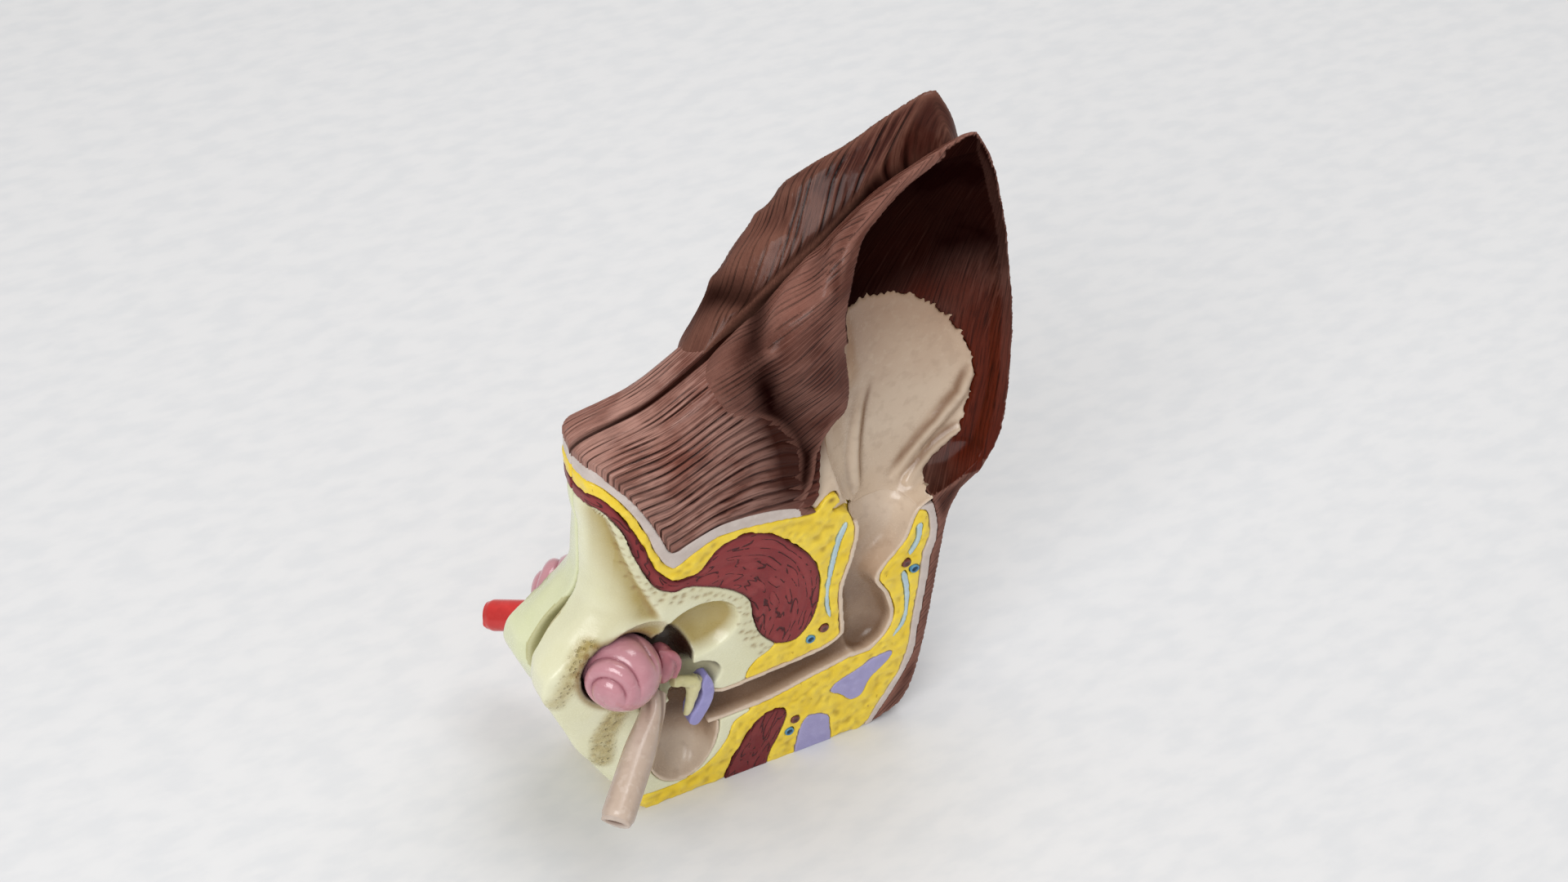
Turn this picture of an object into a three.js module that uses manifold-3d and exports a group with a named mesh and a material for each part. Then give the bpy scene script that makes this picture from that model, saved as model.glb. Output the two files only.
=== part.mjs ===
// Teaching model of a dog's ear, life size, in two halves that rest back to back.
// Each half shows the same long section through the ear: one the healthy ear, the other the infected one.
// Millimetres, +Z up. A half is shaped with its mating face near y = 0 and its section face
// at y = HALF_DEPTH, and the normal half is its mirror image towards -Y.

import * as THREE from 'three';
import { mergeVertices } from 'three/addons/utils/BufferGeometryUtils.js';
import Module from 'manifold-3d';

const wasm = await Module();
wasm.setup();

// Main sizes
const HALF_DEPTH = 15.6;        // mating plane to section face
const FIT_GAP = 0.3;            // clearance between neighbouring pieces
const MATING_FACE = FIT_GAP / 2;
const CAST_DEPTH = 7.5;         // how deep the small coloured castings sit in the fat
const SKIN_THICKNESS = 1.3;     // bare skin of the flap and skin of the canal
const BULLA_SKIN = 0.9;         // mucous lining of the tympanic bulla
const CARTILAGE_WIDTH = 1.3;
const VESSEL_RADIUS = 1.25;
const TUBE_RADIUS = 4.1;        // auditory tube
const PEG_RADIUS = 2.5;         // locating pegs between the halves
const PEG_REACH = 5;            // how far a peg goes into each half
const CANAL_MOUTH = 74;         // height where the bare skin of the bowl meets the canal lining
const FLAP_FOOT = 80;           // height where the flap grows out of the cheek
const CANAL_SWELLING = 0.9;     // how much thicker the infected canal lining is
const ROOF_FULLNESS = 4;        // how boxy the crest of the head is, 2 for round
const ROOF_OVERHANG = 0.4;      // sets how steeply the crest meets the section edge
const FAR_OUT = 200;            // reach of the cutting solids past the model
const FACET_TOLERANCE = 0.18;   // how far a facet may lie off its curve
const SAMPLES_PER_POINT = 6;    // steps of a smooth curve between two of its points

const FINISH = {
  fur: { color: 0x5a2f29, roughness: 0.42, metalness: 0 },
  skin: { color: 0xb9a294, roughness: 0.4, metalness: 0 },
  fat: { color: 0xe3c52f, roughness: 0.38, metalness: 0 },
  muscle: { color: 0x7c2f38, roughness: 0.42, metalness: 0 },
  bone: { color: 0xd9dbb0, roughness: 0.36, metalness: 0 },
  canal: { color: 0x8a6a52, roughness: 0.4, metalness: 0 },
  inflamed: { color: 0xb5443f, roughness: 0.34, metalness: 0 },
  cartilage: { color: 0xa9c2cc, roughness: 0.4, metalness: 0 },
  gland: { color: 0x9d98c8, roughness: 0.4, metalness: 0 },
  artery: { color: 0x5f2a22, roughness: 0.4, metalness: 0 },
  vein: { color: 0x4f8fb4, roughness: 0.4, metalness: 0 },
  cochlea: { color: 0xc78796, roughness: 0.22, metalness: 0 },
  vestibule: { color: 0x8c3d49, roughness: 0.3, metalness: 0 },
  ossicle: { color: 0xd8d3a4, roughness: 0.35, metalness: 0 },
  eardrum: { color: 0x8f8ac6, roughness: 0.3, metalness: 0 },
  tube: { color: 0xc9b3a1, roughness: 0.34, metalness: 0 },
  redTube: { color: 0xc9302e, roughness: 0.3, metalness: 0 },
  peg: { color: 0xe6e3d8, roughness: 0.5, metalness: 0 },
};

// Outlines of the section, as [x, z] from left to right
const NOSE_EDGE = [[-22, 112.5], [-10.5, 112.8], [-8.6, 113], [-5.9, 110.4], [-1.6, 105.6],
  [1.9, 99.6], [5, 93]];
const HEAD_EDGE = [[7.9, 87], [12, 88.4], [19.8, 90.8], [28.7, 90.7], [36, 89.4], [42, 87.3]];
const SKIN_TOP = [...NOSE_EDGE, ...HEAD_EDGE];
const FAT_TOP = [[-22, 108.2], [-10.5, 108.4], [-8.2, 108.8], [-5.3, 106.6], [-1.1, 100.6], [1.8, 94.2],
  [4.6, 86.4], [8, 81.8], [13.6, 84.5], [20, 87.1], [34.7, 85.8], [42, 84.4]];
const FAT_LIP = [[45.9, 84.2], [48.4, 87.6], [51, 88], [52.2, 85.4], [50.4, 82.9], [56.4, 79.8], [61, 74]];
const MUSCLE_TOP = [[-22, 104], [-10.5, 104.3], [-8.6, 105.2], [-6.4, 104.2], [-3.6, 100.3], [-0.6, 94.6],
  [1.8, 89], [4, 82.6], [8.6, 77.6], [14.4, 77.6], [20, 83.2], [25.9, 85], [32.9, 82.7], [40.2, 76.1],
  [46.6, 66.9], [48.2, 56.1], [46, 47], [41.8, 42.6], [36.5, 43.6]];
const MUSCLE_BOTTOM = [[-22, 100.6], [-10.5, 100.8], [-8.4, 101.4], [-5.9, 99.4], [-3.1, 95], [-1.1, 88.4],
  [1.4, 81.7], [4.3, 76.3], [8, 74], [12, 73.9], [16.4, 72.2], [24.5, 67.2], [28.9, 61.9], [30, 56],
  [32.2, 49], [36.5, 43.6]];
const BONE_BELOW = [[34.3, 41.7], [31, 39.8], [28.6, 36], [29.4, 30], [30.2, 22.6], [26.2, 20.4],
  [24, 14.8], [20.9, 10.4], [16, 6.6], [10, 4.9], [2, 5], [-30, 5]];
const CHEEK_FAT = [[72.5, CANAL_MOUTH - 0.4], [76.8, CANAL_MOUTH - 2], [78.3, 67.2], [78.5, 62.1],
  [77.3, 57.4], [76.9, 50.8], [76.6, 42.8], [75.9, 33.2], [75.4, 25], [73.7, 17.2],
  [69.5, 9.7], [65.8, 2.9], [63, -3]];
const CHEEK_SKIN = [[78.2, CANAL_MOUTH + 2], [80.5, 67.3], [80.8, 61], [79.7, 55.6], [79.4, 47.7],
  [78.8, 39.8], [78, 30.1], [77.4, 21.9], [75, 15.4], [71.6, 8.8], [67.6, 2.2], [64.6, -3]];
const CHEEK_FOOT = [-30, -3];
const MOUTH_EDGE = [[44.6, 86.4], [56, 79.4], [66, 76.2]];
const CONCHA_RIM = [[42, 87.3], [44.4, 94.8], [45.6, 105.9], [50.4, 113.5], [57, 118], [60, 92], [55, 78]];
const CONCHA_RIM_DEPTH = 9.6;
const LOWER_MUSCLE = [[38.1, 19.3], [40.6, 17.1], [39.1, 10], [36.5, 4.1], [34.2, -3], [23.8, -3],
  [26.3, 7.8], [30, 14.3], [33.4, 18.5]];
const PAROTID_GLAND = [[71, 25], [68.9, 21.6], [64.9, 18.2], [62.4, 13], [59.8, 12.3], [56.3, 16],
  [53.4, 18.3], [54.6, 20.6], [59.4, 22.6], [64.8, 24.8], [68.7, 25.7]];
const LYMPH_NODE = [[46.8, 11.9], [52.8, 9.9], [53.8, 5.7], [53.6, -3], [44.6, -3], [44.6, 5.8]];
const CONCHA_CARTILAGE = [[54.3, 77.6], [52.4, 71.9], [51.1, 64], [50.3, 56.6], [50.6, 50.7], [51.6, 46.3]];
const TRAGUS_CARTILAGE = [[75.5, 68.6], [75.3, 62.6], [73.2, 58.6]];
const ANNULAR_CARTILAGE = [[71.9, 53.4], [73.3, 47.6], [73.9, 40.6], [73.2, 34.6], [70.4, 30.6]];
const EARDRUM = [[17.4, 42.1], [19.3, 38], [19.3, 33.1], [17.4, 28.5], [14.9, 25.2], [12.9, 26.6],
  [13.3, 29], [15.4, 32.4], [16.3, 35.5], [16.1, 39]];
const VESSEL_PAIRS = [
  { artery: [72.6, 55.9], vein: [75.2, 52.9] },
  { artery: [50.1, 42.9], vein: [46.4, 40.7] },
  { artery: [43.4, 12.6], vein: [41.9, 8.8] },
];
const PEG_PLACES = { fur: [24, 104], fat: [66, 14], bone: [-10, 26] };

// Plan of the left side: x at each share of the depth, from the mating face to the section face
const LEFT_SHARES = [0, 0.38, 0.74, 0.91, 1];
const LEFT_STATIONS = [
  { z: 0, x: [1, 0, -0.5, 0.5, 1.5] },
  { z: 6, x: [-2.5, -4, -4, -2, 0] },
  { z: 12.9, x: [-6.5, -8, -8.2, -5, -1] },
  { z: 20, x: [-10.5, -12, -12, -7.5, -2] },
  { z: 27, x: [-14, -15.5, -15.9, -10, -3] },
  { z: 35, x: [-17.5, -18.8, -18.8, -12, -4] },
  { z: 42.6, x: [-20.5, -22, -21.7, -14, -5] },
  { z: 49, x: [-21.9, -24, -24.1, -15, -5] },
  { z: 53.4, x: [-21.6, -23.6, -23.2, -14, -4] },
  { z: 57, x: [-20, -21.3, -19.6, -11.5, -2] },
  { z: 61.7, x: [-17.3, -17.6, -14, -8, 0] },
  { z: 66, x: [-13.2, -13.3, -9, -4.5, 4] },
  { z: 70, x: [-10.6, -10, -6, -1.6, 6.6] },
  { z: 76, x: [-9.4, -8.6, -4.4, 0.6, 7.9] },
  { z: 90, x: [-9.4, -8.6, -4.6, 0.4, 7.9] },
  { z: 99, x: [-10.5, -9.5, -4.9, 0.3, 7.9] },
  { z: 126, x: [-10.5, -9.5, -4.9, 0.3, 7.9] },
];
const LEFT_STEPS = 5;

// Right side of the cheek: x at the mating face and at the section face
const CHEEK_BULGE = 1.2;
const CHEEK_SHARES = [1, 0.7, 0.3, 0];
const CHEEK_STATIONS = [
  { z: 0, seam: 66, section: 66 },
  { z: 3.9, seam: 72, section: 74.3 },
  { z: 9, seam: 76, section: 77.3 },
  { z: 17.8, seam: 79.5, section: 79.1 },
  { z: 29.1, seam: 82, section: 80.4 },
  { z: 41.2, seam: 83.5, section: 81.3 },
  { z: 55, seam: 84.5, section: 82.2 },
  { z: 67, seam: 85.5, section: 83.2 },
  { z: 75, seam: 86.5, section: 86 },
  { z: FLAP_FOOT, seam: 87.5, section: 92 },
];

// Crest of the head where the halves meet; its last points run inside the ear flap
const CREST = [[-12, 112.5], [-9, 115.6], [8.1, 120.1], [21.2, 127.8], [28, 132.4], [34, 134.6], [44, 135.4]];
const CREST_END = 34;
const CREST_STEPS = 9;
const CREST_SHARES = [0, 0.45, 0.67, 0.83, 0.94, 1];
const CREST_FOOT = 60;

// Ear flap: plan of the haired outside at each height, as [x, share of the depth]
const FLAP_STATIONS = [
  { z: FLAP_FOOT, left: [[34, 0], [34, 0.51], [36, 0.83], [39, 0.96], [42, 1]],
    right: [92, 1], back: [87.5, 0] },
  { z: 87, left: [[30, 0], [30, 0.51], [32, 0.83], [37, 0.96], [42.3, 1.01]],
    right: [96.8, 0.92], back: [90, 0] },
  { z: 95, left: [[25, 0], [25, 0.51], [28, 0.81], [36, 0.95], [44.5, 1.02]],
    right: [98.3, 0.88], back: [91.6, 0] },
  { z: 106, left: [[20, 0], [20.5, 0.44], [24, 0.73], [34, 0.87], [46, 1.04]],
    right: [98.8, 0.83], back: [93, 0] },
  { z: 116, left: [[18, 0], [18, 0.38], [21.5, 0.7], [32, 0.87], [50.5, 1.07]],
    right: [98.6, 0.79], back: [93.3, 0] },
  { z: 124, left: [[20, 0], [19, 0.31], [21.5, 0.67], [31, 0.94], [50.5, 1.1]],
    right: [98.1, 0.77], back: [93, 0] },
  { z: 130, left: [[24.4, 0], [22.8, 0.35], [25, 0.7], [32.6, 0.99], [48, 1.14]],
    right: [97.4, 0.75], back: [92.4, 0] },
  { z: 136, left: [[31.2, 0], [28.4, 0.35], [29, 0.73], [34.6, 1.02], [46.5, 1.16]],
    right: [96.4, 0.73], back: [91.6, 0] },
  { z: 143, left: [[40.2, 0], [36.6, 0.31], [34.6, 0.67], [37, 0.99], [46.4, 1.14]],
    right: [95.4, 0.7], back: [90.6, 0] },
  { z: 150, left: [[49, 0], [44.6, 0.29], [41.2, 0.61], [41.6, 0.91], [47.4, 1.09]],
    right: [94.2, 0.68], back: [89.4, 0] },
  { z: 157, left: [[56.8, 0.02], [52, 0.26], [48.4, 0.52], [46.8, 0.79], [48.6, 0.99]],
    right: [92.6, 0.65], back: [87.8, 0.02] },
  { z: 163.5, left: [[63.6, 0.09], [59.4, 0.26], [55.8, 0.44], [53, 0.65], [53.6, 0.81]],
    right: [91, 0.63], back: [86.4, 0.11] },
  { z: 170, left: [[71.6, 0.25], [68.8, 0.34], [66.2, 0.44], [64, 0.56], [64.4, 0.64]],
    right: [88.8, 0.61], back: [85.2, 0.26] },
  { z: 175, left: [[77.6, 0.4], [76, 0.46], [74.6, 0.51], [73.4, 0.56], [73.6, 0.61]],
    right: [86, 0.6], back: [83.6, 0.42] },
  { z: 178, left: [[81.6, 0.51], [81.2, 0.53], [80.9, 0.55], [80.7, 0.57], [80.8, 0.59]],
    right: [83.6, 0.59], back: [83, 0.51] },
];
const FLANK_STEPS = 7;
const FLAP_EDGE_BULGE = [1.3, 1.6];
const FLAP_EDGE_SHARES = [0.25, 0.5, 0.75];

// Hollow of the ear flap and the upright canal: clear width, what is left behind its floor, and how
// far out, as a share of the depth, its rounded floor begins
const BOWL_STATIONS = [
  { z: 29.7, left: 60, right: 63, floor: 12.4, mouth: 1 },
  { z: 31, left: 57.6, right: 65.6, floor: 11, mouth: 1 },
  { z: 33.2, left: 56.2, right: 67.6, floor: 10.2, mouth: 1 },
  { z: 38.6, left: 56.2, right: 69.2, floor: 9.5, mouth: 1 },
  { z: 47, left: 55.4, right: 67.2, floor: 9.2, mouth: 1 },
  { z: 54, left: 54.9, right: 63.8, floor: 9, mouth: 1 },
  { z: 65, left: 57.2, right: 71, floor: 8, mouth: 1 },
  { z: 73, left: 58.2, right: 73.6, floor: 7, mouth: 1 },
  { z: 80, left: 56.4, right: 86.5, floor: 5.2, mouth: 1 },
  { z: 86, left: 53.4, right: 92.6, floor: 4.1, mouth: 0.97 },
  { z: 106, left: 49.6, right: 95.6, floor: 3.3, mouth: 0.96 },
  { z: 118, left: 53.2, right: 95.2, floor: 3.3, mouth: 0.96 },
  { z: 130, left: 51.4, right: 94.4, floor: 3.3, mouth: 0.99 },
  { z: 143, left: 49.4, right: 92.4, floor: 3.3, mouth: 0.96 },
  { z: 152, left: 51, right: 90.8, floor: 3.5, mouth: 0.87 },
  { z: 160, left: 54, right: 88.6, floor: 4.4, mouth: 0.75 },
  { z: 167, left: 63.4, right: 86.8, floor: 6.4, mouth: 0.64 },
  { z: 173.4, left: 75.4, right: 84.6, floor: 8.4, mouth: 0.61 },
];
const BOWL_ARCS = 7;
const BOWL_FULLNESS = 0.8;      // 1 for a round floor, less for a boxier one
const BOWL_EDGE = 0.98;         // share of the half width up to which its floor is worked out

// Level canal from the corner to the ear drum: clear height and how deep it is cut
const CANAL_STATIONS = [
  { x: 18.2, low: 24.6, high: 35, cut: 5.2 },
  { x: 22.5, low: 24.4, high: 33, cut: 5.2 },
  { x: 34, low: 24.9, high: 33.6, cut: 5 },
  { x: 49, low: 28, high: 35, cut: 5 },
  { x: 53.5, low: 28.8, high: 36.4, cut: 5 },
  { x: 56.6, low: 29.5, high: 39, cut: 5 },
  { x: 60, low: 30.4, high: 41, cut: 4.6 },
];
const CANAL_ARCS = 5;

// Bare skin ends below the hair in a fringe of locks
const FRINGE_LINE = [[38, 134.8], [56, 135.4], [68, 133.6], [76, 130], [82.6, 122.8], [86.6, 114],
  [88.6, 105], [89.6, 95], [88.6, 87.4], [85.6, 83], [82, 80.4], [78.6, 76.4]];
const FRINGE_LOCKS = 14;
const LOCK_LENGTH = 2.2;
const LAST_LOCK = 0.1;          // length of the last lock, as a share
const LOCK_TAPER = 3.5;         // how soon the locks reach their full length from the last one
const FRINGE_FOOT = [[79.4, 60], [36, 60]];

// Folds of the skin in the bowl, as [x, z, radius]
const FOLD_SINK = 0.2;
const SKIN_FOLDS = [
  [[92.4, 107, 0.7], [89.6, 98.5, 1.5], [84.4, 90.6, 1.9], [78.4, 83.4, 1.6], [72.4, 77.6, 0.8]],
  [[91.4, 88.6, 0.6], [86, 84.4, 1.4], [79.6, 78.8, 1.6], [73.6, 76.2, 0.8]],
  [[63.4, 106.6, 0.5], [61.6, 98, 1.5], [60.6, 89.6, 1.9], [60.8, 79.4, 1]],
];

// Hollows and pieces of the middle and inner ear: centres [x, out of the section face, z] and radii
const BULLA = { centre: [11.4, 0, 21.8], radii: [9.4, 10, 15.2] };
const BULLA_MOUTH = [[-10, -5], [40, -5], [40, 33], [-10, 36]];
const TYMPANIC_SLOT = { centre: [13.4, 0, 41.2], radii: [8.2, 7.4, 5.8] };
const ATTIC = { centre: [15.6, 3, 58], radii: [11.2, 9, 9.2] };
const COCHLEA = { centre: [-4.8, -1, 52.2], radius: 9.6, axis: [-0.42, 0.8, -0.44], groove: 1.2 };
// How its band winds: turns, facets to a turn and across the band, where it starts, and how fast it climbs
const WINDING = { turns: 2, steps: 18, bands: 4, foot: -0.5, start: 2.2, climb: 0.9, fade: 4 };
const COCHLEA_PIT = { centre: [-4.4, -1, 52], radii: [12, COCHLEA.radius, 15] };
const COCHLEA_ROOM = { centre: COCHLEA.centre, radii: [COCHLEA.radius, COCHLEA.radius, COCHLEA.radius] };
const COCHLEA_CLEARANCE = 0.9;
const VESTIBULE = { centre: [6.8, -2, 49.6], radii: [4, 4.8, 6.8] };
const VESTIBULE_PIT = { centre: [7.6, -2, 49.6], radii: [6.6, 6.4, 9.8] };
const VESTIBULE_LOOP = { run: [[6, -0.6, 56], [9.4, 0.4, 54], [10.6, 0.4, 49.6], [8.6, 0.4, 45]],
  radii: [1.1, 1.2, 1.2, 1] };
const EARDRUM_BALL = { centre: [16.2, 0, 33.4], radii: [7.6, 5.4, 9.6] };
const EARDRUM_DEPTH = 9.6;
const EARDRUM_PROUD = 0.8;
const OSSICLE_RUNS = [
  { run: [[15.2, -0.8, 41], [14.4, -0.6, 38.6], [13.6, -0.4, 34], [12.4, -0.4, 29.2]],
    radii: [1.6, 2, 1.3, 0.8] },
  { run: [[14.6, -0.8, 40], [11.6, -0.6, 41.6], [8.6, -0.8, 42.6]], radii: [1.9, 1.4, 1.5] },
];
const TUBE = {
  run: [[4.4, -1.8, 39.3], [1.2, 2.6, 37.5], [-6.2, 10.4, 33.7], [-17.3, 21.9, 28.3]],
  radii: [2.7, 3.1, 4, TUBE_RADIUS],
};
const TUBE_SLIT = { width: 3.6, height: 0.9, depth: 6 };

// Small geometry helpers

// A closed geometry as a solid for cutting and joining, turned outwards where needed
function solid(geometry) {
  const plain = geometry.clone();
  plain.deleteAttribute('normal');
  plain.deleteAttribute('uv');
  const merged = mergeVertices(plain, 1e-5);
  const corners = Uint32Array.from(merged.index.array);
  const build = () => new wasm.Manifold(new wasm.Mesh({
    numProp: 3,
    vertProperties: Float32Array.from(merged.attributes.position.array),
    triVerts: corners,
  }));
  const body = build();
  if (body.volume() >= 0) return body;
  for (let i = 0; i < corners.length; i += 3) [corners[i], corners[i + 1]] = [corners[i + 1], corners[i]];
  return build();
}

// A solid as a geometry that a mesh can carry
function geometryOf(body) {
  const mesh = body.getMesh();
  const geometry = new THREE.BufferGeometry();
  geometry.setAttribute('position', new THREE.BufferAttribute(Float32Array.from(mesh.vertProperties), 3));
  geometry.setIndex(new THREE.BufferAttribute(Uint32Array.from(mesh.triVerts), 1));
  const flat = geometry.toNonIndexed();
  flat.computeVertexNormals();
  return flat;
}

// A run of points without those that lie on a straight line between the others
function thinned(points) {
  const first = points[0];
  const last = points[points.length - 1];
  const run = [last[0] - first[0], last[1] - first[1]];
  const length = Math.hypot(...run) || 1;
  const offs = points.map(([x, z]) => Math.abs((x - first[0]) * run[1] - (z - first[1]) * run[0]) / length);
  const farthest = offs.indexOf(Math.max(...offs));
  if (offs[farthest] <= FACET_TOLERANCE) return [first, last];
  return [...thinned(points.slice(0, farthest + 1)).slice(0, -1), ...thinned(points.slice(farthest))];
}

const curveThrough = (points, closed) => new THREE.CatmullRomCurve3(
  points.map(([x, z]) => new THREE.Vector3(x, 0, z)), closed, 'centripetal');

// Smooth curve through [x, z] points, back as a chosen count of [x, z] steps
function evenly(points, steps) {
  return curveThrough(points, false).getPoints(steps).map((p) => [p.x, p.z]);
}

// Smooth curve through [x, z] points, back as the fewest [x, z] points that keep to it
function smooth(points, closed = false) {
  const count = points.length * SAMPLES_PER_POINT;
  const samples = curveThrough(points, closed).getPoints(count).map((p) => [p.x, p.z]);
  if (!closed) return thinned(samples);
  const middle = Math.floor(samples.length / 2);
  const halves = [samples.slice(0, middle + 1), samples.slice(middle)];
  return halves.flatMap((part) => thinned(part).slice(0, -1));
}

// Points pushed sideways by distances, corners kept square; positive is left of the direction of travel
function pushed(points, distance, closed = false) {
  const count = points.length;
  const distanceAt = typeof distance === 'function' ? distance : () => distance;
  const normalAt = (i) => {
    const from = points[(i + count) % count];
    const to = points[(i + 1 + count) % count];
    const length = Math.hypot(to[0] - from[0], to[1] - from[1]) || 1;
    return [-(to[1] - from[1]) / length, (to[0] - from[0]) / length];
  };
  return points.map(([x, z], i) => {
    const before = normalAt(!closed && i === 0 ? 0 : i - 1);
    const after = normalAt(!closed && i === count - 1 ? count - 2 : i);
    const sum = [before[0] + after[0], before[1] + after[1]];
    const stretch = distanceAt(i) / Math.max((sum[0] ** 2 + sum[1] ** 2) / 2, 0.25);
    return [x + sum[0] * stretch, z + sum[1] * stretch];
  });
}

// Closed outline grown outwards by a distance, whichever way it runs
function grown(points, distance) {
  const clockwise = THREE.ShapeUtils.isClockWise(points.map(([x, z]) => new THREE.Vector2(x, z)));
  return pushed(points, clockwise ? distance : -distance, true);
}

// Strip of constant width along a line of [x, z] points
function strip(points, width) {
  const line = smooth(points);
  return [...pushed(line, width / 2), ...pushed(line, -width / 2).reverse()];
}

// An [x, z] outline as a bar between two depths
function bar(points, from = MATING_FACE, to = FAR_OUT) {
  const shape = new THREE.Shape(points.map(([x, z]) => new THREE.Vector2(x, z)));
  const geometry = new THREE.ExtrudeGeometry(shape, { depth: to - from, bevelEnabled: false });
  geometry.rotateX(Math.PI / 2);
  geometry.translate(0, to, 0);
  return solid(geometry);
}

const above = (z) => bar([[-FAR_OUT, z], [FAR_OUT, z], [FAR_OUT, FAR_OUT], [-FAR_OUT, FAR_OUT]], -FAR_OUT);
const below = (z) => bar([[-FAR_OUT, -FAR_OUT], [FAR_OUT, -FAR_OUT], [FAR_OUT, z], [-FAR_OUT, z]], -FAR_OUT);

// Triangles that close a ring of points, seen square to the ring
function capOf(ring) {
  const normal = new THREE.Vector3();
  ring.forEach((p, i) => normal.add(new THREE.Vector3().crossVectors(p, ring[(i + 1) % ring.length])));
  normal.normalize();
  const aside = Math.abs(normal.z) < 0.9 ? new THREE.Vector3(0, 0, 1) : new THREE.Vector3(1, 0, 0);
  const u = new THREE.Vector3().crossVectors(aside, normal).normalize();
  const v = new THREE.Vector3().crossVectors(normal, u);
  return THREE.ShapeUtils.triangulateShape(ring.map((p) => new THREE.Vector2(p.dot(u), p.dot(v))), []);
}

// Solid skin over rings of points that all have the same count, with flat ends
function loft(rings) {
  const count = rings[0].length;
  const index = [];
  for (let r = 0; r + 1 < rings.length; r += 1) {
    for (let i = 0; i < count; i += 1) {
      const a = r * count + i;
      const b = r * count + ((i + 1) % count);
      index.push(a, b, b + count, a, b + count, a + count);
    }
  }
  const top = (rings.length - 1) * count;
  capOf(rings[0]).forEach(([a, b, c]) => index.push(a, c, b));
  capOf(rings[rings.length - 1]).forEach(([a, b, c]) => index.push(top + a, top + b, top + c));
  return solid(surface(rings.flat(), index));
}

function surface(points, index) {
  const geometry = new THREE.BufferGeometry();
  geometry.setAttribute('position', new THREE.Float32BufferAttribute(points.flatMap((p) => p.toArray()), 3));
  geometry.setIndex(index);
  return geometry;
}

// Depth of a point given as a share of the way from the mating face to the section face
const deep = (share) => MATING_FACE + share * (HALF_DEPTH - MATING_FACE);

// A place given by how far it stands out of the section face
const atFace = ([x, out, z]) => [x, HALF_DEPTH + out, z];

// Ball squashed to three radii
function ball({ centre, radii }, extra = 0, width = 12, height = 8) {
  const geometry = new THREE.SphereGeometry(1, width, height);
  geometry.scale(radii[0] + extra, radii[1] + extra, radii[2] + extra);
  geometry.translate(...atFace(centre));
  return solid(geometry);
}

// Rod through points with a radius at each, as a loft of rings square to its run
function rod({ run, radii }, extra = 0, sides = 6) {
  const curve = new THREE.CatmullRomCurve3(run.map((p) => new THREE.Vector3(...p)), false, 'centripetal');
  const steps = (run.length - 1) * 2;
  const frames = curve.computeFrenetFrames(steps, false);
  const rings = [];
  for (let s = 0; s <= steps; s += 1) {
    const place = (s / steps) * (radii.length - 1);
    const low = Math.min(Math.floor(place), radii.length - 2);
    const radius = THREE.MathUtils.lerp(radii[low], radii[low + 1], place - low) + extra;
    const centre = curve.getPoint(s / steps);
    const ring = [];
    for (let i = 0; i < sides; i += 1) {
      const turn = (i / sides) * Math.PI * 2;
      ring.push(centre.clone()
        .addScaledVector(frames.normals[s], Math.cos(turn) * radius)
        .addScaledVector(frames.binormals[s], Math.sin(turn) * radius));
    }
    rings.push(ring);
  }
  return loft(rings);
}

const rodAtFace = ({ run, radii }, extra = 0, sides = 6) => (
  rod({ run: run.map(atFace), radii }, extra, sides));

// Round bar along the depth, for vessels and pegs
function post([x, z], radius, from, to, sides = 8) {
  const geometry = new THREE.CylinderGeometry(radius, radius, to - from, sides);
  geometry.translate(x, (from + to) / 2, z);
  return solid(geometry);
}

const joined = (...bodies) => bodies.reduce((whole, next) => whole.add(next));
const cutBy = (body, ...tools) => tools.reduce((rest, tool) => rest.subtract(tool), body);

// Value between stations by straight interpolation
function between(stations, key, z) {
  const upper = stations.findIndex((s) => s.z >= z);
  if (upper <= 0) return stations[upper < 0 ? stations.length - 1 : 0][key];
  const a = stations[upper - 1];
  const b = stations[upper];
  return THREE.MathUtils.lerp(a[key], b[key], (z - a.z) / (b.z - a.z));
}

// Outer form of a half

// Column from the resting face to the head: nose and petrous bone on the left, cheek on the right
function bodyColumn() {
  const rings = LEFT_STATIONS.map(({ z, x }) => {
    const left = evenly(x.map((value, i) => [value, deep(LEFT_SHARES[i])]), LEFT_STEPS);
    const cheekZ = Math.min(z, FLAP_FOOT);
    const seam = between(CHEEK_STATIONS, 'seam', cheekZ);
    const section = between(CHEEK_STATIONS, 'section', cheekZ);
    const right = CHEEK_SHARES.map((share) => [
      THREE.MathUtils.lerp(seam, section, share) + Math.sin(share * Math.PI) * CHEEK_BULGE, deep(share)]);
    return [...left, ...right].map(([px, py]) => new THREE.Vector3(px, py, z));
  });
  return loft(rings);
}

// Everything under the boxy crest of the head
function underCrest() {
  const edge = smooth(HEAD_EDGE);
  const edgeAt = (x) => edge.find((p) => p[0] >= x)[1];
  const reach = HALF_DEPTH + ROOF_OVERHANG;
  const dropAt = (y) => 1 - (1 - (y / reach) ** ROOF_FULLNESS) ** (1 / ROOF_FULLNESS);
  return loft(evenly(CREST, CREST_STEPS).map(([x, top]) => {
    const bottom = edgeAt(Math.min(x, CREST_END));
    const rise = (y) => top - (top - bottom) * (dropAt(y) / dropAt(HALF_DEPTH));
    const roof = CREST_SHARES.map(deep).map((y) => [y, rise(y)]);
    const ring = [[MATING_FACE, CREST_FOOT], ...roof, [HALF_DEPTH, CREST_FOOT]];
    return ring.map(([y, z]) => new THREE.Vector3(x, y, z));
  }));
}

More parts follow.
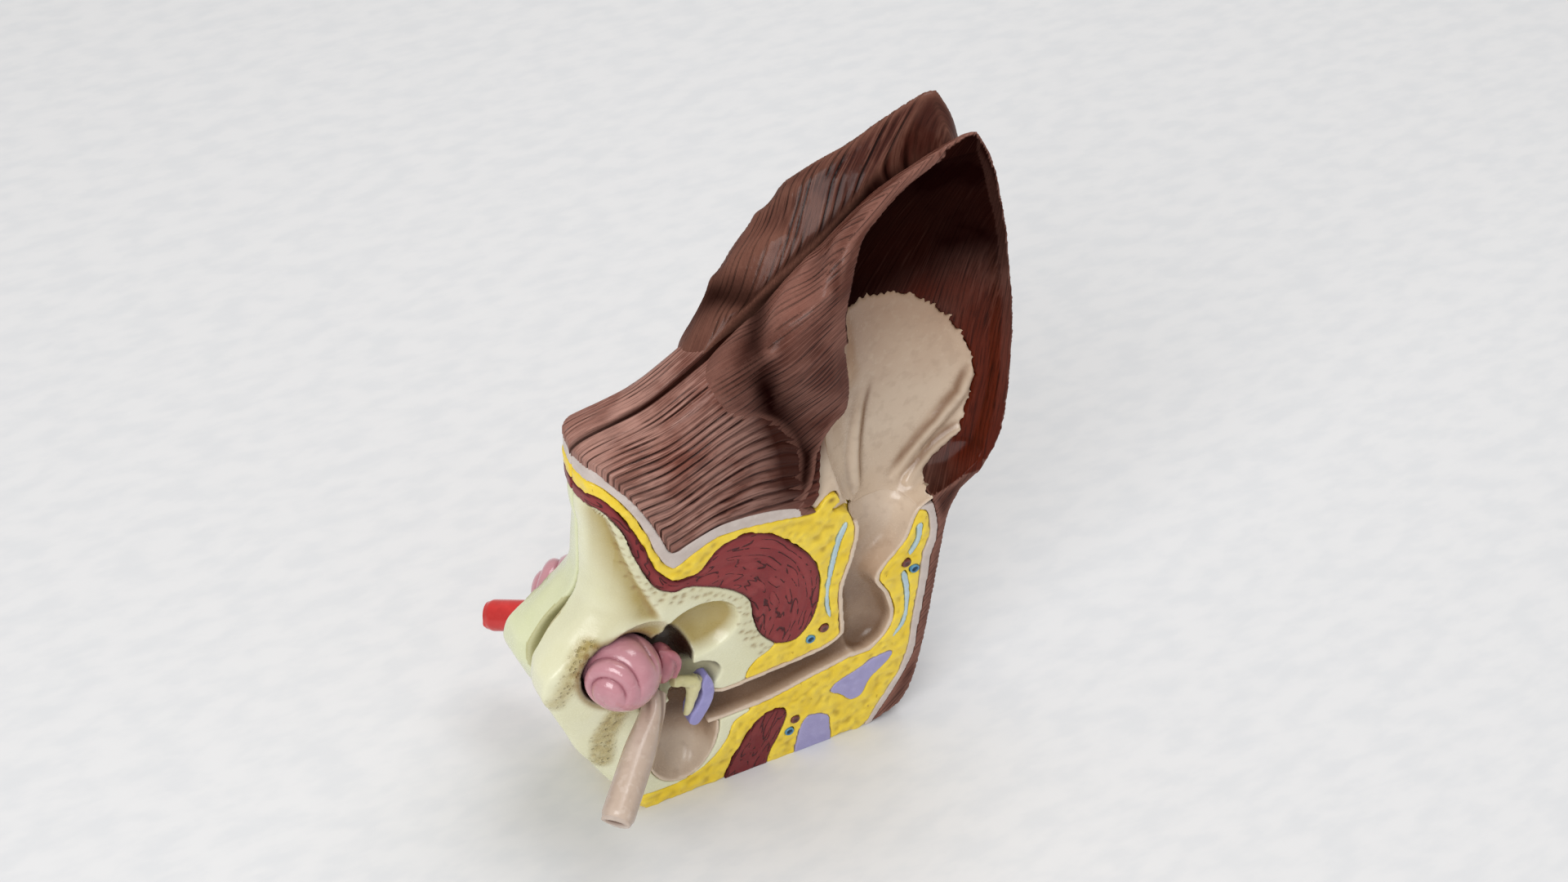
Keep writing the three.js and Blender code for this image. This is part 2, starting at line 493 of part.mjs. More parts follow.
// Outside of the ear flap, its mouth closed from rim to rim
function flapOutside() {
  return loft(FLAP_STATIONS.map(({ z, left, right, back }) => {
    const flank = evenly(left, FLANK_STEPS);
    const round = FLAP_EDGE_SHARES.map((t) => [
      THREE.MathUtils.lerp(right[0], back[0], t) + Math.sin(t * Math.PI) * FLAP_EDGE_BULGE[0],
      THREE.MathUtils.lerp(right[1], back[1], t)]);
    return [...flank, right, ...round, back].map(([x, share]) => new THREE.Vector3(x, deep(share), z));
  }));
}

// Body and crest with the flap on top
const bodyBlock = () => bodyColumn().intersect(joined(below(FLAP_FOOT), underCrest()));

// Hollow of the ear

// Trough with a rounded floor that opens through the section face, grown by a wall thickness
function bowl(grow) {
  return loft(BOWL_STATIONS.map(({ z, left, right, floor, mouth }, i) => {
    const middle = (left + right) / 2;
    const half = (right - left) / 2 + grow;
    const start = deep(mouth);
    const ring = [[middle - half, FAR_OUT]];
    for (let a = 0; a <= BOWL_ARCS; a += 1) {
      const turn = (a / BOWL_ARCS) * Math.PI;
      const wide = Math.sign(Math.cos(turn)) * Math.abs(Math.cos(turn)) ** BOWL_FULLNESS;
      ring.push([middle - half * wide, start - (start - floor + grow) * Math.sin(turn) ** BOWL_FULLNESS]);
    }
    ring.push([middle + half, FAR_OUT]);
    const end = (i === 0 ? -grow : 0) + (i === BOWL_STATIONS.length - 1 ? grow : 0);
    return ring.map(([x, y]) => new THREE.Vector3(x, y, z + end));
  }));
}

// Level part of the canal, a rounded trough along X
function levelCanal(grow) {
  return loft(CANAL_STATIONS.map(({ x, low, high, cut }) => {
    const middle = (low + high) / 2;
    const half = (high - low) / 2 + grow;
    const ring = [[FAR_OUT, middle - half]];
    for (let a = 0; a <= CANAL_ARCS; a += 1) {
      const turn = (a / CANAL_ARCS) * Math.PI;
      ring.push([HALF_DEPTH - (cut + grow) * Math.sin(turn), middle - half * Math.cos(turn)]);
    }
    ring.push([FAR_OUT, middle + half]);
    return ring.map(([y, z]) => new THREE.Vector3(x, y, z));
  }));
}

// Whole hollow from the flap to the ear drum
const hollow = (grow) => joined(bowl(grow), levelCanal(grow));

// Depth of the bowl's surface at a place on the section
function floorOfBowl(x, z) {
  const [left, right, floor, mouth] = ['left', 'right', 'floor', 'mouth']
    .map((key) => between(BOWL_STATIONS, key, z));
  const share = Math.abs((x - (left + right) / 2) / ((right - left) / 2));
  const across = Math.min(share, BOWL_EDGE) ** (1 / BOWL_FULLNESS);
  return deep(mouth) - (deep(mouth) - floor) * Math.sqrt(1 - across ** 2) ** BOWL_FULLNESS;
}

// Tapered folds that lie on the floor of the bowl
const skinFolds = () => SKIN_FOLDS.map((fold) => rod({
  run: fold.map(([x, z]) => [x, floorOfBowl(x, z) - FOLD_SINK, z]),
  radii: fold.map(([, , radius]) => radius),
}));

// Zigzag edge of the bare skin, its locks shorter towards both ends, closed below the ear mouth
function fringeOutline() {
  const last = FRINGE_LOCKS * 2;
  const line = evenly(FRINGE_LINE, last);
  const tips = pushed(line, (i) => LOCK_LENGTH * Math.min(1, LOCK_TAPER * (1 - i / last) + LAST_LOCK));
  return [...line.map((point, i) => (i % 2 ? tips[i] : point)), ...FRINGE_FOOT];
}

// Regions of the section, each a closed outline
const skinTop = smooth(SKIN_TOP);
const fatTop = smooth(FAT_TOP);
const muscleBottom = smooth(MUSCLE_BOTTOM);
const cheekSkin = smooth(CHEEK_SKIN);
const cheekFat = smooth(CHEEK_FAT);
const muscleOutline = [...smooth(MUSCLE_TOP), ...muscleBottom.slice(0, -1).reverse()];
const boneOutline = [...muscleBottom, ...smooth(BONE_BELOW)];
const fatOutline = [...fatTop, ...smooth(FAT_LIP), ...cheekFat, CHEEK_FOOT];
const scalpOutline = [...skinTop, ...pushed(fatTop, FIT_GAP).reverse()];
const cheekOutline = [...cheekSkin, ...pushed(cheekFat, FIT_GAP).reverse()];
const insideFur = [...skinTop, ...MOUTH_EDGE, ...cheekSkin, CHEEK_FOOT];
const fringe = fringeOutline();
const conchaRim = smooth(CONCHA_RIM);

// Small castings set flush into the fat, each with its outline
const INLAYS = {
  lower_muscle: { outline: smooth(LOWER_MUSCLE, true), finish: FINISH.muscle },
  parotid_gland: { outline: smooth(PAROTID_GLAND, true), finish: FINISH.gland },
  lymph_node: { outline: smooth(LYMPH_NODE, true), finish: FINISH.gland },
  concha_cartilage: { outline: strip(CONCHA_CARTILAGE, CARTILAGE_WIDTH), finish: FINISH.cartilage },
  tragus_cartilage: { outline: strip(TRAGUS_CARTILAGE, CARTILAGE_WIDTH), finish: FINISH.cartilage },
  annular_cartilage: { outline: strip(ANNULAR_CARTILAGE, CARTILAGE_WIDTH), finish: FINISH.cartilage },
};
const CAST_FLOOR = HALF_DEPTH - CAST_DEPTH;

// Forms that several pieces are cut from or cut by
const outside = joined(bodyBlock(), flapOutside());
const clear = hollow(0);
const lining = hollow(SKIN_THICKNESS);
const pocket = hollow(SKIN_THICKNESS + FIT_GAP);
const canalLevel = below(CANAL_MOUTH - FIT_GAP / 2);
const bowlLevel = above(CANAL_MOUTH + FIT_GAP / 2);
const roomFor = (outline, from = -FAR_OUT) => bar(grown(outline, FIT_GAP), from);
const fatRoom = roomFor(fatOutline);
const muscleRoom = roomFor(muscleOutline);
const drumRoom = roomFor(EARDRUM, HALF_DEPTH - EARDRUM_DEPTH - FIT_GAP)
  .intersect(ball(EARDRUM_BALL, FIT_GAP));
const tubeForm = (extra) => rodAtFace(TUBE, extra, 10);
const pegRoom = (place) => post(place, PEG_RADIUS + FIT_GAP, -FAR_OUT, PEG_REACH + FIT_GAP, 12);

// Chain of small bones from the ear drum to the vestibule
const ossicleForm = (extra) => joined(...OSSICLE_RUNS.map((bone) => rodAtFace(bone, extra)));

// Vestibule with one canal looped over it
const vestibuleForm = (extra) => joined(ball(VESTIBULE, extra, 10, 7), rodAtFace(VESTIBULE_LOOP, extra));

// Snail shell of the inner ear: one band that winds up a dome, each turn bulging between two grooves
function snailShell({ centre, radius, axis, groove }, { turns, steps, bands, foot, start, climb, fade }) {
  const middle = new THREE.Vector3(...atFace(centre));
  const up = new THREE.Vector3(...axis).normalize();
  const side = new THREE.Vector3().crossVectors(up, new THREE.Vector3(0, 0, 1)).normalize();
  const across = new THREE.Vector3().crossVectors(up, side);
  const last = steps * turns;
  const pointAt = (n, band) => {
    const height = Math.min((n + (band / bands) * steps) / (last + steps), 1);
    const lift = THREE.MathUtils.lerp(foot, Math.PI / 2, height ** climb);
    const bulge = Math.sqrt(Math.abs(Math.sin((band / bands) * Math.PI)));
    const reach = radius - groove * (1 - bulge) * (1 - height ** fade);
    const turn = (n / steps) * Math.PI * 2 + start;
    return middle.clone().addScaledVector(up, Math.sin(lift) * reach)
      .addScaledVector(side, Math.cos(turn) * Math.cos(lift) * reach)
      .addScaledVector(across, Math.sin(turn) * Math.cos(lift) * reach);
  };
  const points = [];
  const index = [];
  const place = (n, band) => (
    band === bands ? place(n + steps, 0) : Math.min(n, last + steps) * bands + band);
  for (let n = 0; n <= last + steps; n += 1) {
    for (let band = 0; band < bands; band += 1) points.push(pointAt(n, band));
  }
  for (let n = 0; n < last; n += 1) {
    for (let band = 0; band < bands; band += 1) {
      index.push(place(n, band), place(n + 1, band), place(n + 1, band + 1));
      index.push(place(n, band), place(n + 1, band + 1), place(n, band + 1));
    }
  }
  const turnFrom = (n) => {
    const ring = [];
    for (let s = n; s <= n + steps; s += 1) ring.push(place(s, 0));
    for (let band = bands - 1; band > 0; band -= 1) ring.push(place(n, band));
    return ring;
  };
  const rim = turnFrom(0);
  const base = points.push(middle.clone().add(new THREE.Vector3(0, -radius, 0))) - 1;
  rim.forEach((corner, i) => index.push(base, rim[(i + 1) % rim.length], corner));
  const tip = turnFrom(last);
  const crown = points.push(middle.clone().addScaledVector(up, radius)) - 1;
  tip.forEach((corner, i) => index.push(crown, corner, tip[(i + 1) % tip.length]));
  return solid(surface(points, index));
}

// Pieces of a half, shaped in the +Y position

const rimLump = (gap, depth) => bar(grown(conchaRim, gap), HALF_DEPTH - depth);

const furCover = () => cutBy(outside, roomFor(insideFur), fatRoom, clear, pocket.intersect(roomFor(fringe)),
  pocket.intersect(below(CANAL_MOUTH)), rimLump(FIT_GAP / 2, CONCHA_RIM_DEPTH + FIT_GAP),
  pegRoom(PEG_PLACES.fur));

function conchaSkin() {
  const bare = bar(fringe, 0);
  const sheet = cutBy(joined(lining, rimLump(-FIT_GAP / 2, CONCHA_RIM_DEPTH))
    .intersect(outside).intersect(bare).intersect(bowlLevel), clear, fatRoom);
  const folds = skinFolds().map((fold) => fold.intersect(lining).intersect(bare).intersect(bowlLevel));
  return joined(sheet, ...folds);
}

const scalpSkin = () => bar(scalpOutline).intersect(outside);
const cheekSkinPiece = () => cutBy(bar(cheekOutline).intersect(outside).intersect(canalLevel), pocket);
const temporalMuscle = () => bar(muscleOutline).intersect(outside);

function skullBone() {
  const pits = [drumRoom, ball(BULLA, BULLA_SKIN + FIT_GAP), ball(TYMPANIC_SLOT), ball(ATTIC),
    ball(COCHLEA_PIT, FIT_GAP), ball(VESTIBULE_PIT), tubeForm(FIT_GAP)];
  return cutBy(bar(boneOutline).intersect(outside), muscleRoom, pocket, ...pits, pegRoom(PEG_PLACES.bone));
}

function fatBody() {
  const inlayRooms = Object.values(INLAYS).map(({ outline }) => roomFor(outline, CAST_FLOOR - FIT_GAP));
  const vesselRooms = VESSEL_PAIRS.flatMap(({ artery, vein }) => [artery, vein])
    .map((place) => post(place, VESSEL_RADIUS + FIT_GAP, CAST_FLOOR - FIT_GAP, FAR_OUT));
  return cutBy(bar(fatOutline).intersect(outside), muscleRoom, roomFor(boneOutline), pocket, ...inlayRooms,
    ...vesselRooms, pegRoom(PEG_PLACES.fat));
}

const canalLining = (swelling) => cutBy(lining.intersect(outside).intersect(canalLevel),
  swelling ? hollow(-swelling) : clear, drumRoom);

const bullaLining = () => cutBy(ball(BULLA, BULLA_SKIN).intersect(outside).intersect(bar(BULLA_MOUTH)),
  ball(BULLA), pocket, drumRoom, tubeForm(FIT_GAP));

const eardrum = () => bar(EARDRUM, HALF_DEPTH - EARDRUM_DEPTH, HALF_DEPTH + EARDRUM_PROUD)
  .intersect(ball(EARDRUM_BALL));
const ossicles = () => cutBy(ossicleForm(0), drumRoom, vestibuleForm(FIT_GAP), tubeForm(FIT_GAP));
const vestibule = () => cutBy(vestibuleForm(0), ball(COCHLEA_ROOM, COCHLEA_CLEARANCE), tubeForm(FIT_GAP));

// Auditory tube, cut off square with a slit in its end
function auditoryTube() {
  const end = new THREE.Vector3(...atFace(TUBE.run[3]));
  const way = end.clone().sub(new THREE.Vector3(...atFace(TUBE.run[2]))).normalize();
  const slit = new THREE.BoxGeometry(TUBE_SLIT.width, TUBE_SLIT.height, TUBE_SLIT.depth);
  slit.applyMatrix4(new THREE.Matrix4().makeRotationFromQuaternion(
    new THREE.Quaternion().setFromUnitVectors(new THREE.Vector3(0, 0, 1), way)));
  slit.translate(...end.toArray());
  return cutBy(tubeForm(0), solid(slit), ball(COCHLEA_ROOM, COCHLEA_CLEARANCE));
}

const inlay = (outline) => bar(outline, CAST_FLOOR, HALF_DEPTH).intersect(outside);
const vessel = (place) => post(place, VESSEL_RADIUS, CAST_FLOOR, HALF_DEPTH);

// Every piece of one half with its finish, by name
function half({ swelling, canalFinish, drumFinish, tubeFinish }) {
  const pieces = {
    fur_cover: [furCover(), FINISH.fur],
    concha_skin: [conchaSkin(), FINISH.skin],
    scalp_skin: [scalpSkin(), FINISH.skin],
    cheek_skin: [cheekSkinPiece(), FINISH.skin],
    fat_body: [fatBody(), FINISH.fat],
    temporal_muscle: [temporalMuscle(), FINISH.muscle],
    skull_bone: [skullBone(), FINISH.bone],
    canal_lining: [canalLining(swelling), canalFinish],
    bulla_lining: [bullaLining(), canalFinish],
    eardrum: [eardrum(), drumFinish],
    ossicles: [ossicles(), FINISH.ossicle],
    cochlea: [snailShell(COCHLEA, WINDING), FINISH.cochlea],
    vestibule: [vestibule(), FINISH.vestibule],
    auditory_tube: [auditoryTube(), tubeFinish],
  };
  Object.entries(INLAYS).forEach(([name, { outline, finish }]) => {
    pieces[name] = [inlay(outline), finish];
  });
  VESSEL_PAIRS.forEach((pair, i) => {
    pieces[`artery_${i + 1}`] = [vessel(pair.artery), FINISH.artery];
    pieces[`vein_${i + 1}`] = [vessel(pair.vein), FINISH.vein];
  });
  return pieces;
}

const CONDITIONS = {
  normal: { side: -1, swelling: 0, canalFinish: FINISH.canal, drumFinish: FINISH.eardrum,
    tubeFinish: FINISH.tube },
  infected: { side: 1, swelling: CANAL_SWELLING, canalFinish: FINISH.inflamed, drumFinish: FINISH.inflamed,
    tubeFinish: FINISH.redTube },
};

// The largest single body of a cut, with loose slivers left out
function whole(body) {
  return body.decompose().reduce((best, piece) => (piece.volume() > best.volume() ? piece : best));
}

const group = new THREE.Group();

function add(name, body, finish) {
  const geometry = geometryOf(whole(body.simplify(FACET_TOLERANCE)));
  const mesh = new THREE.Mesh(geometry, new THREE.MeshStandardMaterial(finish));
  mesh.name = name;
  group.add(mesh);
}

Object.entries(CONDITIONS).forEach(([state, condition]) => {
  Object.entries(half(condition)).forEach(([name, [body, finish]]) => {
    add(`${state}_${name}`, condition.side < 0 ? body.mirror([0, 1, 0]) : body, finish);
  });
});
Object.values(PEG_PLACES).forEach((place, i) => {
  add(`locating_peg_${i + 1}`, post(place, PEG_RADIUS, -PEG_REACH, PEG_REACH, 12), FINISH.peg);
});

// The origin goes to the middle of the resting face
const extent = new THREE.Box3().setFromObject(group);
const middle = extent.getCenter(new THREE.Vector3());
group.children.forEach((mesh) => mesh.geometry.translate(-middle.x, -middle.y, -extent.min.z));

export default group;
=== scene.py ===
"""Looks of a two-part teaching model of a dog's ear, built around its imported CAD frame.

A half is shaped in millimetres with its mating face near y = 0 and its section face at y = 15.6.
The healthy half is the mirror image towards -Y. Every piece then gets its place in metres.
"""

import logging
import math
from dataclasses import dataclass, field, replace
from enum import Enum
from functools import cached_property
from typing import Callable, Iterable, Sequence

import bpy
import numpy as np
from mathutils import Matrix, Vector


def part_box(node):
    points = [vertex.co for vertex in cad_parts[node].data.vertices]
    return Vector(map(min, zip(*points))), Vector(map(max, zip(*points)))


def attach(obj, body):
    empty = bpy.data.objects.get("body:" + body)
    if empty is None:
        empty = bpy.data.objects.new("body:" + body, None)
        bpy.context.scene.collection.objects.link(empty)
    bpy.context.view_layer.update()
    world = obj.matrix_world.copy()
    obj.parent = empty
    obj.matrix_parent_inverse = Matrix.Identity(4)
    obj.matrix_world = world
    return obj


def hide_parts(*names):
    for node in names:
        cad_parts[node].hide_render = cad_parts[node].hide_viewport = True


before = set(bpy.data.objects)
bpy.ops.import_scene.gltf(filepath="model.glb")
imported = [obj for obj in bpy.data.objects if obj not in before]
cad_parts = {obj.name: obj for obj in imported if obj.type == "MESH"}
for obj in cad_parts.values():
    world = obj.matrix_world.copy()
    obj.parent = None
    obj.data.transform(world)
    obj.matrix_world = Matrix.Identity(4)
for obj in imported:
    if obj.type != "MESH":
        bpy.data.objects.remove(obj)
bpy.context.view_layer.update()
LOG = logging.getLogger("ear_model")

MM = 0.001
HALF_DEPTH = 15.6               # mating plane to section face
MATING_FACE = 0.15
JOINT_GAP = 0.05                # how far neighbouring castings stay apart
CAST_DEPTH = 7.5                # how deep the small coloured castings sit
SKIN_THICKNESS = 1.3
FLAP_FOOT = 80.0
FLAP_TOP = 178.0
CANAL_MOUTH = 74.0
FAR_OUT = 60.0
SLAB_REACH = 80.0
ROOF_FULLNESS = 4.0
ROOF_REACH = HALF_DEPTH + 0.4
PEG_X = 24.0                    # place of the first peg, which sets the origin

TINY = 1e-9
MIRROR = np.array([1, -1, 1])
ROD_SIDE = (0.31, 0.22, 0.92)    # a rod's rings start square to this way
HASH_WAY, HASH_SEED, HASH_SCALE = (127.1, 311.7, 74.7), 19.19, 43758.5453

Array = np.ndarray
Colour = str
Ball = tuple[Sequence[float], Sequence[float]]          # centre, radii
Spot = tuple[Sequence[float], Sequence[float], float]   # centre, radii, strength

# Outlines of the section, as x, z.
NOSE_EDGE = [(-22, 112.5), (-10.5, 112.8), (-8.6, 113), (-5.9, 110.4), (-1.6, 105.6), (1.9, 99.6), (5, 93)]
HEAD_EDGE = [(7.9, 87), (12, 88.4), (19.8, 90.8), (28.7, 90.7), (36, 89.4), (42, 87.3)]
FAT_TOP = [(-22, 108.2), (-10.5, 108.4), (-8.2, 108.8), (-5.3, 106.6), (-1.1, 100.6), (1.8, 94.2),
           (4.6, 86.4), (8, 81.8), (13.6, 84.5), (20, 87.1), (34.7, 85.8), (42, 84.4)]
FAT_LIP = [(45.9, 84.2), (48.4, 87.6), (51, 88), (52.2, 85.4), (50.4, 82.9), (56.4, 79.8), (61, 74)]
MUSCLE_TOP = [(-22, 104), (-10.5, 104.3), (-8.6, 105.2), (-6.4, 104.2), (-3.6, 100.3), (-0.6, 94.6),
              (1.8, 89), (4, 82.6), (8.6, 77.6), (14.4, 77.6), (20, 83.2), (25.9, 85), (32.9, 82.7),
              (40.2, 76.1), (46.6, 66.9), (48.2, 56.1), (46, 47), (41.8, 42.6), (36.5, 43.6)]
MUSCLE_BOTTOM = [(-22, 100.6), (-10.5, 100.8), (-8.4, 101.4), (-5.9, 99.4), (-3.1, 95), (-1.1, 88.4),
                 (1.4, 81.7), (4.3, 76.3), (8, 74), (12, 73.9), (16.4, 72.2), (24.5, 67.2), (28.9, 61.9),
                 (30, 56), (32.2, 49), (36.5, 43.6)]
BONE_BELOW = [(34.3, 41.7), (31, 39.8), (28.6, 36), (29.4, 30), (30.2, 22.6), (26.2, 20.4),
              (24, 14.8), (20.9, 10.4), (16, 6.6), (10, 4.9), (2, 5), (-30, 5)]
CHEEK_FAT = [(72.5, 73.6), (76.8, 72), (78.3, 67.2), (78.5, 62.1), (77.3, 57.4), (76.9, 50.8),
             (76.6, 42.8), (75.9, 33.2), (75.4, 25), (73.7, 17.2), (69.5, 9.7), (65.8, 2.9), (63, -3)]
CHEEK_SKIN = [(78.2, 76), (80.5, 67.3), (80.8, 61), (79.7, 55.6), (79.4, 47.7), (78.8, 39.8),
              (78, 30.1), (77.4, 21.9), (75, 15.4), (71.6, 8.8), (67.6, 2.2), (64.6, -3)]
CHEEK_FOOT = (-30, -3)
MOUTH_EDGE = [(44.6, 86.4), (56, 79.4), (66, 76.2)]
CONCHA_RIM = [(42, 87.3), (44.4, 94.8), (45.6, 105.9), (50.4, 113.5), (57, 118), (60, 92), (55, 78)]
CONCHA_RIM_DEPTH = 9.6
LOWER_MUSCLE = [(38.1, 19.3), (40.6, 17.1), (39.1, 10), (36.5, 4.1), (34.2, -3), (23.8, -3),
                (26.3, 7.8), (30, 14.3), (33.4, 18.5)]
PAROTID_GLAND = [(71, 25), (68.9, 21.6), (64.9, 18.2), (62.4, 13), (59.8, 12.3), (56.3, 16),
                 (53.4, 18.3), (54.6, 20.6), (59.4, 22.6), (64.8, 24.8), (68.7, 25.7)]
LYMPH_NODE = [(46.8, 11.9), (52.8, 9.9), (53.8, 5.7), (53.6, -3), (44.6, -3), (44.6, 5.8)]
CONCHA_CARTILAGE = [(54.3, 77.6), (52.4, 71.9), (51.1, 64), (50.3, 56.6), (50.6, 50.7), (51.6, 46.3)]
TRAGUS_CARTILAGE = [(75.5, 68.6), (75.3, 62.6), (73.2, 58.6)]
ANNULAR_CARTILAGE = [(71.9, 53.4), (73.3, 47.6), (73.9, 40.6), (73.2, 34.6), (70.4, 30.6)]
EARDRUM = [(17.4, 42.1), (19.3, 38), (19.3, 33.1), (17.4, 28.5), (14.9, 25.2), (12.9, 26.6),
           (13.3, 29), (15.4, 32.4), (16.3, 35.5), (16.1, 39)]
VESSEL_PAIRS = [((72.6, 55.9), (75.2, 52.9)), ((50.1, 42.9), (46.4, 40.7)), ((43.4, 12.6), (41.9, 8.8))]
FRINGE_LINE = [(38, 134.8), (56, 135.4), (68, 133.6), (76, 130), (82.6, 122.8), (86.6, 114),
               (88.6, 105), (89.6, 95), (88.6, 87.4), (85.6, 83), (82, 80.4), (78.6, 76.4)]
FRINGE_SWELL = 3.4
FRINGE_FOOT = [(79.4, 60), (36, 60)]

# Stations of the outer form.
LEFT_SHARES = (0, 0.38, 0.74, 0.91, 1)
LEFT_HEIGHTS = (0, 6, 12.9, 20, 27, 35, 42.6, 49, 53.4, 57, 61.7, 66, 70, 76, 90, 99, 126)
LEFT_PLAN = (
    (1, 0, -0.5, 0.5, 1.5), (-2.5, -4, -4, -2, 0), (-6.5, -8, -8.2, -5, -1), (-10.5, -12, -12, -7.5, -2),
    (-14, -15.5, -15.9, -10, -3), (-17.5, -18.8, -18.8, -12, -4), (-20.5, -22, -21.7, -14, -5),
    (-21.9, -24, -24.1, -15, -5), (-21.6, -23.6, -23.2, -14, -4), (-20, -21.3, -19.6, -11.5, -2),
    (-17.3, -17.6, -14, -8, 0), (-13.2, -13.3, -9, -4.5, 4), (-10.6, -10, -6, -1.6, 6.6),
    (-9.4, -8.6, -4.4, 0.6, 7.9), (-9.4, -8.6, -4.6, 0.4, 7.9), (-10.5, -9.5, -4.9, 0.3, 7.9),
    (-10.5, -9.5, -4.9, 0.3, 7.9))
CHEEK_HEIGHTS = (0, 3.9, 9, 17.8, 29.1, 41.2, 55, 67, 75, 80)
CHEEK_PLAN = ((66, 66), (72, 74.3), (76, 77.3), (79.5, 79.1), (82, 80.4), (83.5, 81.3), (84.5, 82.2),
              (85.5, 83.2), (86.5, 86), (87.5, 92))
CHEEK_BULGE = 1.2
CREST_LINE = [(-12, 112.5), (-9, 115.6), (8.1, 120.1), (21.2, 127.8), (28, 132.4), (34, 134.6), (44, 135.4)]
CREST_END = 34.0
FLAP_HEIGHTS = (80, 87, 95, 106, 116, 124, 130, 136, 143, 150, 157, 163.5, 170, 175, 178)
FLAP_LEFT = (
    ((34, 0), (34, 0.51), (36, 0.83), (39, 0.96), (42, 1)),
    ((30, 0), (30, 0.51), (32, 0.83), (37, 0.96), (42.3, 1.01)),
    ((25, 0), (25, 0.51), (28, 0.81), (36, 0.95), (44.5, 1.02)),
    ((20, 0), (20.5, 0.44), (24, 0.73), (34, 0.87), (46, 1.04)),
    ((18, 0), (18, 0.38), (21.5, 0.7), (32, 0.87), (50.5, 1.07)),
    ((20, 0), (19, 0.31), (21.5, 0.67), (31, 0.94), (50.5, 1.1)),
    ((24.4, 0), (22.8, 0.35), (25, 0.7), (32.6, 0.99), (48, 1.14)),
    ((31.2, 0), (28.4, 0.35), (29, 0.73), (34.6, 1.02), (46.5, 1.16)),
    ((40.2, 0), (36.6, 0.31), (34.6, 0.67), (37, 0.99), (46.4, 1.14)),
    ((49, 0), (44.6, 0.29), (41.2, 0.61), (41.6, 0.91), (47.4, 1.09)),
    ((56.8, 0.02), (52, 0.26), (48.4, 0.52), (46.8, 0.79), (48.6, 0.99)),
    ((63.6, 0.09), (59.4, 0.26), (55.8, 0.44), (53, 0.65), (53.6, 0.81)),
    ((71.6, 0.25), (68.8, 0.34), (66.2, 0.44), (64, 0.56), (64.4, 0.64)),
    ((77.6, 0.4), (76, 0.46), (74.6, 0.51), (73.4, 0.56), (73.6, 0.61)),
    ((81.6, 0.51), (81.2, 0.53), (80.9, 0.55), (80.7, 0.57), (80.8, 0.59)))
FLAP_RIGHT = ((92, 1), (96.8, 0.92), (98.3, 0.88), (98.8, 0.83), (98.6, 0.79), (98.1, 0.77), (97.4, 0.75),
              (96.4, 0.73), (95.4, 0.7), (94.2, 0.68), (92.6, 0.65), (91, 0.63), (88.8, 0.61), (86, 0.6),
              (83.6, 0.59))
FLAP_BACK = ((87.5, 0), (90, 0), (91.6, 0), (93, 0), (93.3, 0), (93, 0), (92.4, 0), (91.6, 0), (90.6, 0),
             (89.4, 0), (87.8, 0.02), (86.4, 0.11), (85.2, 0.26), (83.6, 0.42), (83, 0.51))
FLAP_EDGE_BULGE = 1.3
BOWL_HEIGHTS = (29.7, 31, 33.2, 38.6, 47, 54, 65, 73, 80, 86, 106, 118, 130, 143, 152, 160, 167, 173.4)
BOWL_PLAN = (  # left, right, floor, share of the depth where the rounded floor starts
    (60, 63, 12.4, 1), (57.6, 65.6, 11, 1), (56.2, 67.6, 10.2, 1), (56.2, 69.2, 9.5, 1), (55.4, 67.2, 9.2, 1),
    (54.9, 63.8, 9, 1), (57.2, 71, 8, 1), (58.2, 73.6, 7, 1), (56.4, 86.5, 5.2, 1), (53.4, 92.6, 4.1, 0.97),
    (49.6, 95.6, 3.3, 0.96), (53.2, 95.2, 3.3, 0.96), (51.4, 94.4, 3.3, 0.99), (49.4, 92.4, 3.3, 0.96),
    (51, 90.8, 3.5, 0.87), (54, 88.6, 4.4, 0.75), (63.4, 86.8, 6.4, 0.64), (75.4, 84.6, 8.4, 0.61))
BOWL_FULLNESS = 0.8
CANAL_PLACES = (18.2, 22.5, 34, 49, 53.5, 56.6, 60)
CANAL_PLAN = ((24.6, 35, 5.2), (24.4, 33, 5.2), (24.9, 33.6, 5), (28, 35, 5), (28.8, 36.4, 5),
              (29.5, 39, 5), (30.4, 41, 4.6))


def linked(name: str, data: object) -> bpy.types.Object:
    """A new object in the scene."""
    thing = bpy.data.objects.new(name, data)
    bpy.context.scene.collection.objects.link(thing)
    return thing


def unit(vectors: Array) -> Array:
    """Vectors brought to length 1."""
    return vectors / np.maximum(np.linalg.norm(vectors, axis=-1, keepdims=True), TINY)


def starts(lengths: Array) -> Array:
    """Where each run starts in a row of runs of these lengths."""
    return np.concatenate([[0], np.cumsum(lengths)[:-1]])


def travelled(line: Array) -> Array:
    """Length of the way to each point of a line."""
    return np.concatenate([[0], np.cumsum(np.linalg.norm(np.diff(line, axis=0), axis=1))])


